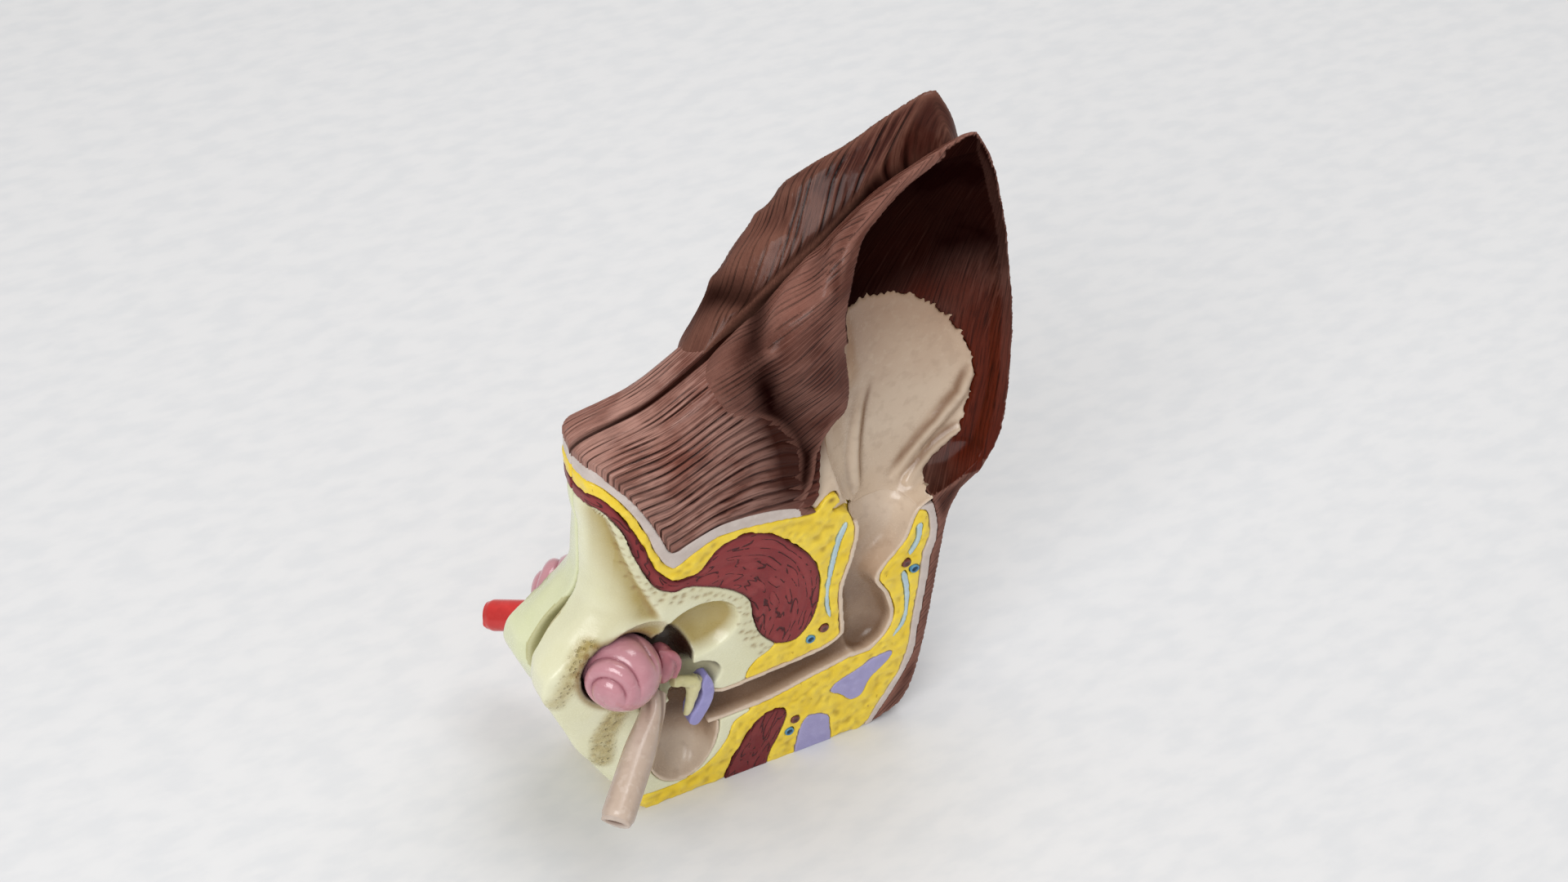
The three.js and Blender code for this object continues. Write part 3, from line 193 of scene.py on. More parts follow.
def catmull(points: Iterable[Sequence[float]], steps: int, closed: bool = False) -> Array:
    """Centripetal Catmull-Rom curve: between two points, the cubic with end slopes from chord^(1/2) spacing.

    Args:
        points: control points, each of the same number of values.
        steps: count of equal parameter steps over the whole curve.
        closed: whether the curve returns to its first point.
    Returns:
        steps + 1 points of the curve.
    """
    knots = np.asarray(list(points), float)
    count = len(knots)
    place = np.linspace(0, count if closed else count - 1, steps + 1)
    span = np.minimum(place.astype(int), count - (1 if closed else 2))
    t = (place - span)[:, None]
    if closed:
        p0, p1, p2, p3 = (knots[(span + k) % count] for k in (-1, 0, 1, 2))
    else:
        padded = np.vstack([2 * knots[0] - knots[1], knots, 2 * knots[-1] - knots[-2]])
        p0, p1, p2, p3 = (padded[span + k] for k in (0, 1, 2, 3))
    d0, d1, d2 = (np.maximum(np.linalg.norm(b - a, axis=1, keepdims=True), 1e-6) ** 0.5
                  for a, b in ((p0, p1), (p1, p2), (p2, p3)))
    m1 = ((p1 - p0) / d0 - (p2 - p0) / (d0 + d1) + (p2 - p1) / d1) * d1
    m2 = ((p2 - p1) / d1 - (p3 - p1) / (d1 + d2) + (p3 - p2) / d2) * d1
    return p1 + m1 * t + (3 * (p2 - p1) - 2 * m1 - m2) * t ** 2 + (2 * (p1 - p2) + m1 + m2) * t ** 3


def smooth(points: Iterable[Sequence[float]], closed: bool = False, per_point: int = 8) -> Array:
    """Dense x, z points of the smooth curve through a few."""
    knots = list(points)
    curve = catmull(knots, len(knots) * per_point, closed)
    return curve[:-1] if closed else curve


def through(places: Sequence[float], values: object, at: Array) -> Array:
    """Cubic through stations that keeps their shape: slopes are the harmonic mean of the two chords.

    Args:
        places: rising station places.
        values: one value, or an array of values, at each station.
        at: places to work out.
    Returns:
        The values at those places, held level past the ends.
    """
    x, y = np.asarray(places, float), np.asarray(values, float)
    shape = (-1,) + (1,) * (y.ndim - 1)
    chord = np.diff(y, axis=0) / np.diff(x).reshape(shape)
    slope = np.zeros_like(y)
    product, total = chord[:-1] * chord[1:], chord[:-1] + chord[1:]
    total = np.where(np.abs(total) < 1e-12, 1, total)
    slope[1:-1] = np.where(product > 0, 2 * product / total, 0)
    slope[0], slope[-1] = chord[0], chord[-1]
    place = np.clip(np.asarray(at, float), x[0], x[-1])
    i = np.clip(np.searchsorted(x, place, side="right") - 1, 0, len(x) - 2)
    t = ((place - x[i]) / (x[i + 1] - x[i])).reshape(shape)
    h = (x[i + 1] - x[i]).reshape(shape)
    return ((1 + 2 * t) * (1 - t) ** 2 * y[i] + t * (1 - t) ** 2 * h * slope[i]
            + t ** 2 * (3 - 2 * t) * y[i + 1] + t ** 2 * (t - 1) * h * slope[i + 1])


def eased(value: Array, low: float, high: float) -> Array:
    """0 below low, 1 above high, 3t^2 - 2t^3 between."""
    t = np.clip((value - low) / (high - low), 0, 1)
    return t * t * (3 - 2 * t)


def bell(value: Array, middle: float, width: float) -> Array:
    """Soft band: exp(-((value - middle) / width)^2)."""
    return np.exp(-((value - middle) / width) ** 2)


def noise(points: Array, size: float | Sequence[float], seed: int = 0) -> Array:
    """Smooth noise from -1 to 1: random values at whole lattice corners, blended by 3t^2 - 2t^3.

    Args:
        points: an (n, 2) or (n, 3) array.
        size: lattice size, one value or one for each axis.
        seed: which of the random fields.
    Returns:
        One value for each point.
    """
    scaled = np.atleast_2d(points) / np.asarray(size, float)
    scaled = np.pad(scaled, ((0, 0), (0, 3 - scaled.shape[1])))
    low = np.floor(scaled)
    t = scaled - low
    t = t * t * (3 - 2 * t)
    total = np.zeros(len(scaled))
    for corner in np.ndindex(2, 2, 2):
        value = np.sin((low + corner) @ HASH_WAY + seed * HASH_SEED) * HASH_SCALE
        weight = np.prod(np.where(np.array(corner) == 1, t, 1 - t), axis=1)
        total += weight * ((value - np.floor(value)) * 2 - 1)
    return total


def pushed(line: Array, distance: float | Array, closed: bool = False) -> Array:
    """A line of x, z points moved sideways, to the left of its travel where distance is positive.

    Args:
        line: the points.
        distance: how far, one value or one for each point.
        closed: whether the line returns to its first point.
    Returns:
        The moved points.
    """
    if closed:
        before, after = line - np.roll(line, 1, 0), np.roll(line, -1, 0) - line
    else:
        steps = np.diff(line, axis=0)
        before, after = np.vstack([steps[:1], steps]), np.vstack([steps, steps[-1:]])
    way = unit(unit(before) + unit(after))
    return line + np.column_stack([-way[:, 1], way[:, 0]]) * np.reshape(distance, (-1, 1))


def grown(outline: Array, distance: float) -> Array:
    """A closed outline grown outwards, whichever way it runs."""
    x, z = outline.T
    area = np.sum(x * np.roll(z, -1) - z * np.roll(x, -1))
    return pushed(outline, -distance if area > 0 else distance, closed=True)


def near_line(points: Array, line: Sequence[Sequence[float]], closed: bool = False) -> tuple[Array, Array, Array]:
    """Where points lie along a run of points.

    Args:
        points: (n, k) places.
        line: (m, k) points of the run.
        closed: whether the run returns to its first point.
    Returns:
        The length along the run, the distance from it, and the side (-1 or 1, for x, z points).
    """
    line = np.asarray(line, float)
    line = np.vstack([line, line[:1]]) if closed else line
    best = np.full(len(points), np.inf)
    along, side = np.zeros(len(points)), np.ones(len(points))
    for a, w, gone in zip(line[:-1], np.diff(line, axis=0), travelled(line)):
        run = np.linalg.norm(w)
        offset = points - a
        t = np.clip(offset @ w / max(run * run, 1e-12), 0, 1)
        gap = np.linalg.norm(offset - t[:, None] * w, axis=1)
        closer = gap < best
        best = np.where(closer, gap, best)
        along = np.where(closer, gone + t * run, along)
        if points.shape[1] == 2:
            turn = w[0] * offset[:, 1] - w[1] * offset[:, 0]
            side = np.where(closer, np.where(turn >= 0, 1, -1), side)
    return along, best, side


def blot(points: Array, centre: Sequence[float], radius: float | Sequence[float]) -> Array:
    """Soft spot: exp(-(distance / radius)^2)."""
    return np.exp(-np.sum(((points - np.asarray(centre)) / np.asarray(radius)) ** 2, axis=1))


def blots(points: Array, spots: Iterable[Spot]) -> Array:
    """Sum of soft spots, each a centre, its radii and its strength."""
    return sum(strength * blot(points, centre, radii) for centre, radii, strength in spots)


def deep(share: Array | float) -> Array | float:
    """Depth of a point given as a share of the way from the mating face to the section face."""
    return MATING_FACE + np.asarray(share) * (HALF_DEPTH - MATING_FACE)


def cut_rim(y: Array) -> Array:
    """1 where a surface meets the section face, 0 below it."""
    return eased(y, HALF_DEPTH - 0.7, HALF_DEPTH - 0.1)


def at_face(run: Iterable[Sequence[float]]) -> Array:
    """Places given by how far they stand out of the section face."""
    return np.array(list(run), float) + (0, HALF_DEPTH, 0)


# Whole outlines of the section, from the edges above.
HEAD_LINE, CREST_TOP, SKIN_TOP = smooth(HEAD_EDGE), catmull(CREST_LINE, 120), smooth(NOSE_EDGE + HEAD_EDGE)
FAT_LINE, MUSCLE_UNDERSIDE = smooth(FAT_TOP), smooth(MUSCLE_BOTTOM)
MUSCLE_OUTLINE = np.vstack([smooth(MUSCLE_TOP), MUSCLE_UNDERSIDE[:-1][::-1]])
BONE_OUTLINE = np.vstack([MUSCLE_UNDERSIDE, smooth(BONE_BELOW)])
FAT_OUTLINE = np.vstack([FAT_LINE, smooth(FAT_LIP), smooth(CHEEK_FAT), [CHEEK_FOOT]])
FUR_INSIDE = np.vstack([SKIN_TOP, MOUTH_EDGE, smooth(CHEEK_SKIN), [CHEEK_FOOT]])
RIM_LUMP = smooth(CONCHA_RIM)


class Cut(Enum):
    """Ways to put two solids together."""

    JOIN = "UNION"
    TAKE = "DIFFERENCE"
    KEEP = "INTERSECT"


@dataclass
class Casting:
    """A finished surface: points in millimetres, and faces as runs of corners.

    Its flow has a row for each point, or for each corner where the hair lines change way from face to face.
    """

    points: Array
    corners: Array
    sizes: Array
    normals: Array
    flow: Array | None = None
    paint: dict[str, Array] = field(default_factory=dict)

    @property
    def flat(self) -> Array:
        """x and z of the points."""
        return self.points[:, [0, 2]]

    def mirrored(self) -> "Casting":
        """The casting on the other side of y = 0, with its faces turned to point outwards again."""
        first = np.repeat(starts(self.sizes), self.sizes)
        order = 2 * first + np.repeat(self.sizes, self.sizes) - 1 - np.arange(len(self.corners))
        by_corner = self.flow is not None and len(self.flow) > len(self.points)
        return replace(self, points=self.points * MIRROR, corners=self.corners[order],
                       normals=self.normals * MIRROR, flow=self.flow[order] if by_corner else self.flow)

    def raised(self, height: Array) -> "Casting":
        """The casting with every point moved out along its normal."""
        return replace(self, points=self.points + self.normals * height[:, None])

    def waved(self, height: float, size: float | Sequence[float], seed: int) -> "Casting":
        """The casting with swells of a height and size."""
        return self.raised(height * noise(self.points, size, seed))

    def painted(self, **layers: Array) -> "Casting":
        """The casting with paint layers, each kept from 0 to 1."""
        self.paint.update({name: np.clip(values, 0, 1) for name, values in layers.items()})
        return self

    def neighbours_mean(self, values: Array) -> Array:
        """Mean of the values at the points next to each point, over the faces' edges.

        Args:
            values: a value or a row for each point.
        Returns:
            The means, in the same shape.
        """
        first = np.repeat(starts(self.sizes), self.sizes)
        after = first + (np.arange(len(self.corners)) - first + 1) % np.repeat(self.sizes, self.sizes)
        a, b, count = self.corners, self.corners[after], len(self.points)
        links = np.bincount(a, minlength=count) + np.bincount(b, minlength=count)
        total = np.stack([np.bincount(a, column[b], count) + np.bincount(b, column[a], count)
                          for column in values.reshape(count, -1).T], -1)
        return (total / np.maximum(links, 1)[:, None]).reshape(values.shape)

    def light_and_shade_by_curvature(self, reach: int = 3, calm: int = 1, hollow_at: float = 0.09, edge_at: float = 0.1) -> "Casting":
        """Painted shade in hollows and painted highlight on edges: how hollow and how edge-like each point is, by the
        mean neighbour's height along the normal.

        Args:
            reach: passes that widen the measure.
            calm: passes that smooth it.
            hollow_at: height, in millimetres, that counts as a full hollow.
            edge_at: height that counts as a full edge.
        Returns:
            The casting with a 'crevice' layer of painted shade in the hollows, and a layer of painted highlight on
            the edges.
        """
        blurred = self.points
        for _ in range(reach):
            blurred = self.neighbours_mean(blurred)
        bend = np.einsum("ij,ij->i", blurred - self.points, self.normals)
        for _ in range(calm):
            bend = self.neighbours_mean(bend)
        return self.painted(crevice=bend / hollow_at, worn=-bend / edge_at)

    @classmethod
    def read(cls, mesh: bpy.types.Mesh) -> "Casting":
        """The arrays of a Blender mesh.

        Args:
            mesh: the mesh to read.
        Returns:
            Its points, faces and normals.
        """
        found = []
        for items, name, kind, width in ((mesh.vertices, "co", float, 3), (mesh.loops, "vertex_index", np.int32, 1),
                                         (mesh.polygons, "loop_total", np.int32, 1),
                                         (mesh.vertex_normals, "vector", float, 3)):
            values = np.empty(len(items) * width, kind)
            items.foreach_get(name, values)
            found.append(values.reshape(-1, 3) if width == 3 else values)
        return cls(*found)

    def mesh(self, name: str) -> bpy.types.Mesh:
        """A Blender mesh from the arrays, in the casting's own units.

        Args:
            name: the mesh's name.
        Returns:
            The mesh, without materials or layers.
        """
        mesh = bpy.data.meshes.new(name)
        mesh.vertices.add(len(self.points))
        mesh.vertices.foreach_set("co", self.points.astype(np.float32).ravel())
        mesh.loops.add(len(self.corners))
        mesh.loops.foreach_set("vertex_index", self.corners.astype(np.int32))
        mesh.polygons.add(len(self.sizes))
        mesh.polygons.foreach_set("loop_start", starts(self.sizes).astype(np.int32))
        mesh.update(calc_edges=True)
        return mesh


class Solid:
    """A closed body in millimetres that modifiers join, cut and cast."""

    def __init__(self, mesh: bpy.types.Mesh) -> None:
        """Keeps the mesh."""
        self.mesh = mesh

    @classmethod
    def of(cls, points: Array, faces: list[list[int]]) -> "Solid":
        """A solid from points and faces, its faces turned outwards where they aren't.

        Args:
            points: an (n, 3) array.
            faces: corners of each face, all running the same way.
        Returns:
            The solid.
        """
        rings = (points[face] for face in faces)
        if sum(np.sum(np.cross(ring[1:-1], ring[2:]) @ ring[0]) for ring in rings) < 0:
            faces = [face[::-1] for face in faces]
        mesh = bpy.data.meshes.new("solid")
        mesh.from_pydata(points.tolist(), [], faces)
        return cls(mesh)

    @classmethod
    def loft(cls, rings: Array) -> "Solid":
        """Skin over (rows, columns, 3) rings with flat ends: quad (r, c) joins ring r to ring r + 1.

        Args:
            rings: points of each ring, all running the same way.
        Returns:
            The closed solid.
        """
        rows, columns = rings.shape[:2]
        base = np.arange(rows - 1)[:, None] * columns
        left = np.arange(columns)[None, :]
        right = (left + 1) % columns
        quads = np.stack([base + left, base + right, base + columns + right, base + columns + left], -1)
        faces = quads.reshape(-1, 4).tolist()
        faces.append(list(range(columns))[::-1])
        faces.append(list(range((rows - 1) * columns, rows * columns)))
        return cls.of(rings.reshape(-1, 3), faces)

    @classmethod
    def skin(cls, x: Array, y: Array, z: Array) -> "Solid":
        """Skin over rings given by coordinates that spread to (rows, columns)."""
        return cls.loft(np.stack(np.broadcast_arrays(x, y, z), -1))

    @classmethod
    def trough(cls, x: Array, y: Array, z: Array) -> "Solid":
        """Skin over half rings whose ends run straight out of the section face."""
        x, z = (np.pad(np.broadcast_to(line, y.shape), ((0, 0), (1, 1)), "edge") for line in (x, z))
        return cls.skin(x, np.pad(y, ((0, 0), (1, 1)), constant_values=FAR_OUT), z)

    @classmethod
    def bar(cls, outline: Array, start: float = MATING_FACE, end: float = FAR_OUT) -> "Solid":
        """A closed x, z outline carried along y from start to end."""
        x, z = np.asarray(outline, float).T
        return cls.skin(x, np.array([[start], [end]]), z)

    @classmethod
    def room(cls, outline: Array, start: float = -FAR_OUT, gap: float = JOINT_GAP) -> "Solid":
        """Room for the pieces inside an outline: the outline grown by a gap and carried along y."""
        return cls.bar(grown(outline, gap), start)

    @classmethod
    def box(cls, low: Sequence[float], high: Sequence[float]) -> "Solid":
        """A box between two corners."""
        (x0, y0, z0), (x1, y1, z1) = low, high
        return cls.bar([(x0, z0), (x1, z0), (x1, z1), (x0, z1)], y0, y1)

    @classmethod
    def slab(cls, bottom: float, top: float) -> "Solid":
        """All of a half between two heights."""
        return cls.box((-SLAB_REACH, -SLAB_REACH, bottom), (SLAB_REACH + 40, SLAB_REACH, top))

    @classmethod
    def ball(cls, centre: Sequence[float], radii: Sequence[float], extra: float = 0, rows: int = 40) -> "Solid":
        """An ellipsoid: centre + radii * (sin a cos b, sin a sin b, cos a).

        Args:
            centre: its middle.
            radii: half widths along x, y and z.
            extra: what to add to them.
            rows: rings from top to foot.
        Returns:
            The closed solid.
        """
        a = np.linspace(0.03, math.pi - 0.03, rows)[:, None]
        b = np.linspace(0, 2 * math.pi, rows * 2, endpoint=False)
        sides = (np.sin(a) * np.cos(b), np.sin(a) * np.sin(b), np.cos(a))
        return cls.skin(*(c + side * (r + extra) for c, side, r in zip(centre, sides, radii)))

    @classmethod
    def rod(cls, run: Array, radii: Sequence[float], extra: float = 0, sides: int = 24, steps: int = 40) -> "Solid":
        """A round rod: curve(s) + r(s) * (n cos a + b sin a), with n and b square to the curve.

        Args:
            run: points of the curve.
            radii: radii at even stations along it.
            extra: what to add to them.
            sides: points round it.
            steps: rings along it.
        Returns:
            The closed rod.
        """
        line = catmull(run, steps)
        way = unit(np.gradient(line, axis=0))
        aside = unit(np.cross(way, ROD_SIDE if abs(way[0] @ ROD_SIDE) < 0.9 else (1, 0, 0)))
        radius = np.interp(np.linspace(0, 1, steps + 1), np.linspace(0, 1, len(radii)), radii) + extra
        turn = np.linspace(0, 2 * math.pi, sides, endpoint=False)[:, None]
        ring = aside[:, None] * np.cos(turn) + np.cross(way, aside)[:, None] * np.sin(turn)
        return cls.loft(line[:, None] + ring * radius[:, None, None])

    def _shaped(self, prepare: Callable[[bpy.types.Object, list[bpy.types.Object]], None]) -> bpy.types.Mesh:
        """The mesh after the modifiers that prepare adds to a scratch object.

        Args:
            prepare: adds modifiers to the body, and its helpers to the list.
        Returns:
            The finished mesh.
        """
        scratch = [linked("scratch", self.mesh)]
        prepare(scratch[0], scratch)
        graph = bpy.context.evaluated_depsgraph_get()
        mesh = bpy.data.meshes.new_from_object(scratch[0].evaluated_get(graph), depsgraph=graph)
        for thing in scratch:
            bpy.data.objects.remove(thing)
        return mesh

    def _combined(self, cut: Cut, tools: Iterable["Solid"]) -> "Solid":
        """This solid with each tool applied in turn.

        Args:
            cut: how to put them together.
            tools: the solids.
        Returns:
            A new solid.
        """
        def prepare(body: bpy.types.Object, scratch: list[bpy.types.Object]) -> None:
            """Adds one boolean for each tool."""
            for tool in tools:
                scratch.append(linked("scratch", tool.mesh))
                modifier = body.modifiers.new("cut", "BOOLEAN")
                modifier.operation, modifier.solver, modifier.object = cut.value, "MANIFOLD", scratch[-1]
        return Solid(self._shaped(prepare))

    def join(self, *tools: "Solid") -> "Solid":
        """This solid and the tools as one."""
        return self._combined(Cut.JOIN, tools)

    def take(self, *tools: "Solid") -> "Solid":
        """This solid without the tools."""
        return self._combined(Cut.TAKE, tools)

    def keep(self, *tools: "Solid") -> "Solid":
        """What this solid shares with every tool."""
        return self._combined(Cut.KEEP, tools)

    def cast(self, grain: float, rounding: int = 4, strength: float = 0.5) -> Casting:
        """The solid as an even mesh with softened edges.

        Args:
            grain: size of a facet, in millimetres.
            rounding: passes that soften the edges.
            strength: how far each pass goes.
        Returns:
            The surface's arrays.
        """
        def prepare(body: bpy.types.Object, _: list[bpy.types.Object]) -> None:
            """Adds the even mesh and the softening."""
            remesh = body.modifiers.new("even", "REMESH")
            remesh.mode, remesh.voxel_size = "VOXEL", grain
            soften = body.modifiers.new("soft", "SMOOTH")
            soften.factor, soften.iterations = strength, rounding
        return Casting.read(self._shaped(prepare))

    def plain(self) -> Casting:
        """The solid's own faces."""
        return Casting.read(self.mesh)


@dataclass
class Forms:
    """The forms that several pieces are cut from or cut by."""

    row_step: float = 1.0
    side_steps: int = 28
    edge_steps: int = 14
    bowl_steps: int = 44
    canal_steps: int = 26
    crest_steps: int = 40
    crest_span: tuple[float, float] = (-12.0, 44.5)
    crest_underside: float = 60.0
    fringe_locks: int = 62

    def skin_height(self, x: Array) -> Array:
        """Height of the cut skin's upper edge over x."""
        return np.interp(x, *SKIN_TOP.T)

    def left_wall(self, z: Array, share: Array) -> Array:
        """x of the left side at heights z (rows) and shares of the depth (columns)."""
        return through(LEFT_SHARES, through(LEFT_HEIGHTS, LEFT_PLAN, z).T, share).T

    def roof(self, x: Array, share: Array) -> Array:
        """Height of the head: top(x) - (top(x) - edge(x)) * drop, drop = 1 - (1 - y^4)^(1/4).

        Args:
            x: places along the head.
            share: shares of the depth.
        Returns:
            The heights.
        """
        top = np.interp(x, *CREST_TOP.T)
        bottom = np.interp(np.clip(x, HEAD_EDGE[0][0], CREST_END), *HEAD_LINE.T)
        full, drop = (1 - (1 - (y / ROOF_REACH) ** ROOF_FULLNESS) ** (1 / ROOF_FULLNESS)
                      for y in (HALF_DEPTH, deep(share)))
        return top - (top - bottom) * drop / full

    @cached_property
    def column(self) -> Solid:
        """Body from the resting face to the head: rings of the left plan and the cheek at each height.

        Returns:
            A solid that reaches above the head.
        """
        z = np.arange(LEFT_HEIGHTS[0], LEFT_HEIGHTS[-1] + 0.5, self.row_step)
        share, back = np.linspace(0, 1, self.side_steps), np.linspace(1, 0, self.edge_steps)
        seam, section = through(CHEEK_HEIGHTS, CHEEK_PLAN, np.minimum(z, FLAP_FOOT)).T[..., None]
        cheek = seam + (section - seam) * back + np.sin(back * math.pi) * CHEEK_BULGE
        x = np.hstack([self.left_wall(z, share), cheek])
        return Solid.skin(x, deep(np.concatenate([share, back])), z[:, None])

    @cached_property
    def crest(self) -> Solid:
        """Everything under the boxy head, as rings across it."""
        x = np.arange(*self.crest_span, self.row_step)[:, None]
        share = 1 - (1 - np.linspace(0, 1, self.crest_steps)) ** 2
        z = np.pad(self.roof(x, share), ((0, 0), (1, 1)), constant_values=self.crest_underside)
        return Solid.skin(x, np.concatenate([[MATING_FACE], deep(share), [HALF_DEPTH]]), z)

    @cached_property
    def flap(self) -> Solid:
        """Outside of the ear flap with its mouth closed: flank, mouth, edge and back at each height.

        Returns:
            A solid that the bowl is cut from.
        """
        z = np.append(np.arange(FLAP_FOOT, FLAP_TOP, self.row_step), FLAP_TOP)
        flank = np.stack([catmull(row, 24) for row in through(FLAP_HEIGHTS, FLAP_LEFT, z)])
        right, back = (through(FLAP_HEIGHTS, line, z)[:, None] for line in (FLAP_RIGHT, FLAP_BACK))
        t = np.linspace(0, 1, self.edge_steps)[:, None]
        edge = right + (back - right) * t
        edge[..., 0] += np.sin(t[:, 0] * math.pi) * FLAP_EDGE_BULGE
        x, share = np.moveaxis(np.concatenate([flank, edge], 1), -1, 0)
        return Solid.skin(x, deep(share), z[:, None])

    def bowl(self, grow: float) -> Solid:
        """Trough of the flap and the upright canal, its floor start - (start - floor) sin^0.8, grown.

        Args:
            grow: wall to add all round, in millimetres.
        Returns:
            The trough, open towards the section.
        """
        z = np.arange(BOWL_HEIGHTS[0], BOWL_HEIGHTS[-1], self.row_step)
        left, right, floor, mouth = through(BOWL_HEIGHTS, BOWL_PLAN, z).T[..., None]
        turn = np.linspace(0, math.pi, self.bowl_steps)
        wide = np.sign(np.cos(turn)) * np.abs(np.cos(turn)) ** BOWL_FULLNESS
        y = deep(mouth) - (deep(mouth) - floor + grow) * np.sin(turn) ** BOWL_FULLNESS
        z[0] -= grow
        z[-1] += grow
        return Solid.trough((left + right) / 2 - ((right - left) / 2 + grow) * wide, y, z[:, None])

    def floor_of_bowl(self, x: Array, z: Array) -> Array:
        """Depth of the bowl's surface at places of the section."""
        left, right, floor, mouth = through(BOWL_HEIGHTS, BOWL_PLAN, z).T
        across = np.clip(np.abs((x - (left + right) / 2) / ((right - left) / 2)), 0, 0.98) ** (1 / BOWL_FULLNESS)
        return deep(mouth) - (deep(mouth) - floor) * np.sqrt(1 - across ** 2) ** BOWL_FULLNESS

    def canal(self, grow: float) -> Solid:
        """Level canal, a rounded trough along x, grown by a wall.

        Args:
            grow: wall to add, in millimetres.
        Returns:
            The trough, open towards the section.
        """
        x = np.arange(CANAL_PLACES[0], CANAL_PLACES[-1] + 0.5, self.row_step)
        low, high, cut = through(CANAL_PLACES, CANAL_PLAN, x).T[..., None]
        turn = np.linspace(0, math.pi, self.canal_steps)
        z = (low + high) / 2 - ((high - low) / 2 + grow) * np.cos(turn)
        return Solid.trough(x[:, None], HALF_DEPTH - (cut + grow) * np.sin(turn), z)

    def hollow(self, grow: float) -> Solid:
        """Whole hollow from the flap to the ear drum, grown by a wall."""
        return self.bowl(grow).join(self.canal(grow))

    @cached_property
    def outside(self) -> Solid:
        """Whole outer form of a half: column and head, and the flap."""
        low = Solid.box((-FAR_OUT, -FAR_OUT, -FAR_OUT), (2 * FAR_OUT, FAR_OUT, FLAP_FOOT))
        return self.column.keep(self.crest.join(low)).join(self.flap)

    @cached_property
    def clear(self) -> Solid:
        """The open hollow."""
        return self.hollow(0)

    @cached_property
    def lining(self) -> Solid:
        """The hollow and its skin."""
        return self.hollow(SKIN_THICKNESS)

    @cached_property
    def pocket(self) -> Solid:
        """Room for the hollow's skin in what lies behind it."""
        return self.hollow(SKIN_THICKNESS + JOINT_GAP)

    @cached_property
    def fringe(self) -> Array:
        """Jagged edge of the bare skin under the hair: a line with a tooth of its own length at each lock.

        Returns:
            A closed x, z outline.
        """
        line = catmull(FRINGE_LINE, self.fringe_locks * 2)
        line[:, 0] += FRINGE_SWELL * bell(line[:, 1], 108, 14) * (line[:, 0] > 80)
        count = np.arange(len(line))
        length = 1.5 + 0.8 * np.sin(count * 2.3) + 0.5 * np.sin(count * 5.1 + 1)
        ends = 1 - 0.65 * eased(count / count[-1], 0.3, 0.6)
        return np.vstack([pushed(line, np.where(count % 2 == 1, length * ends, -0.3 * ends)), FRINGE_FOOT])


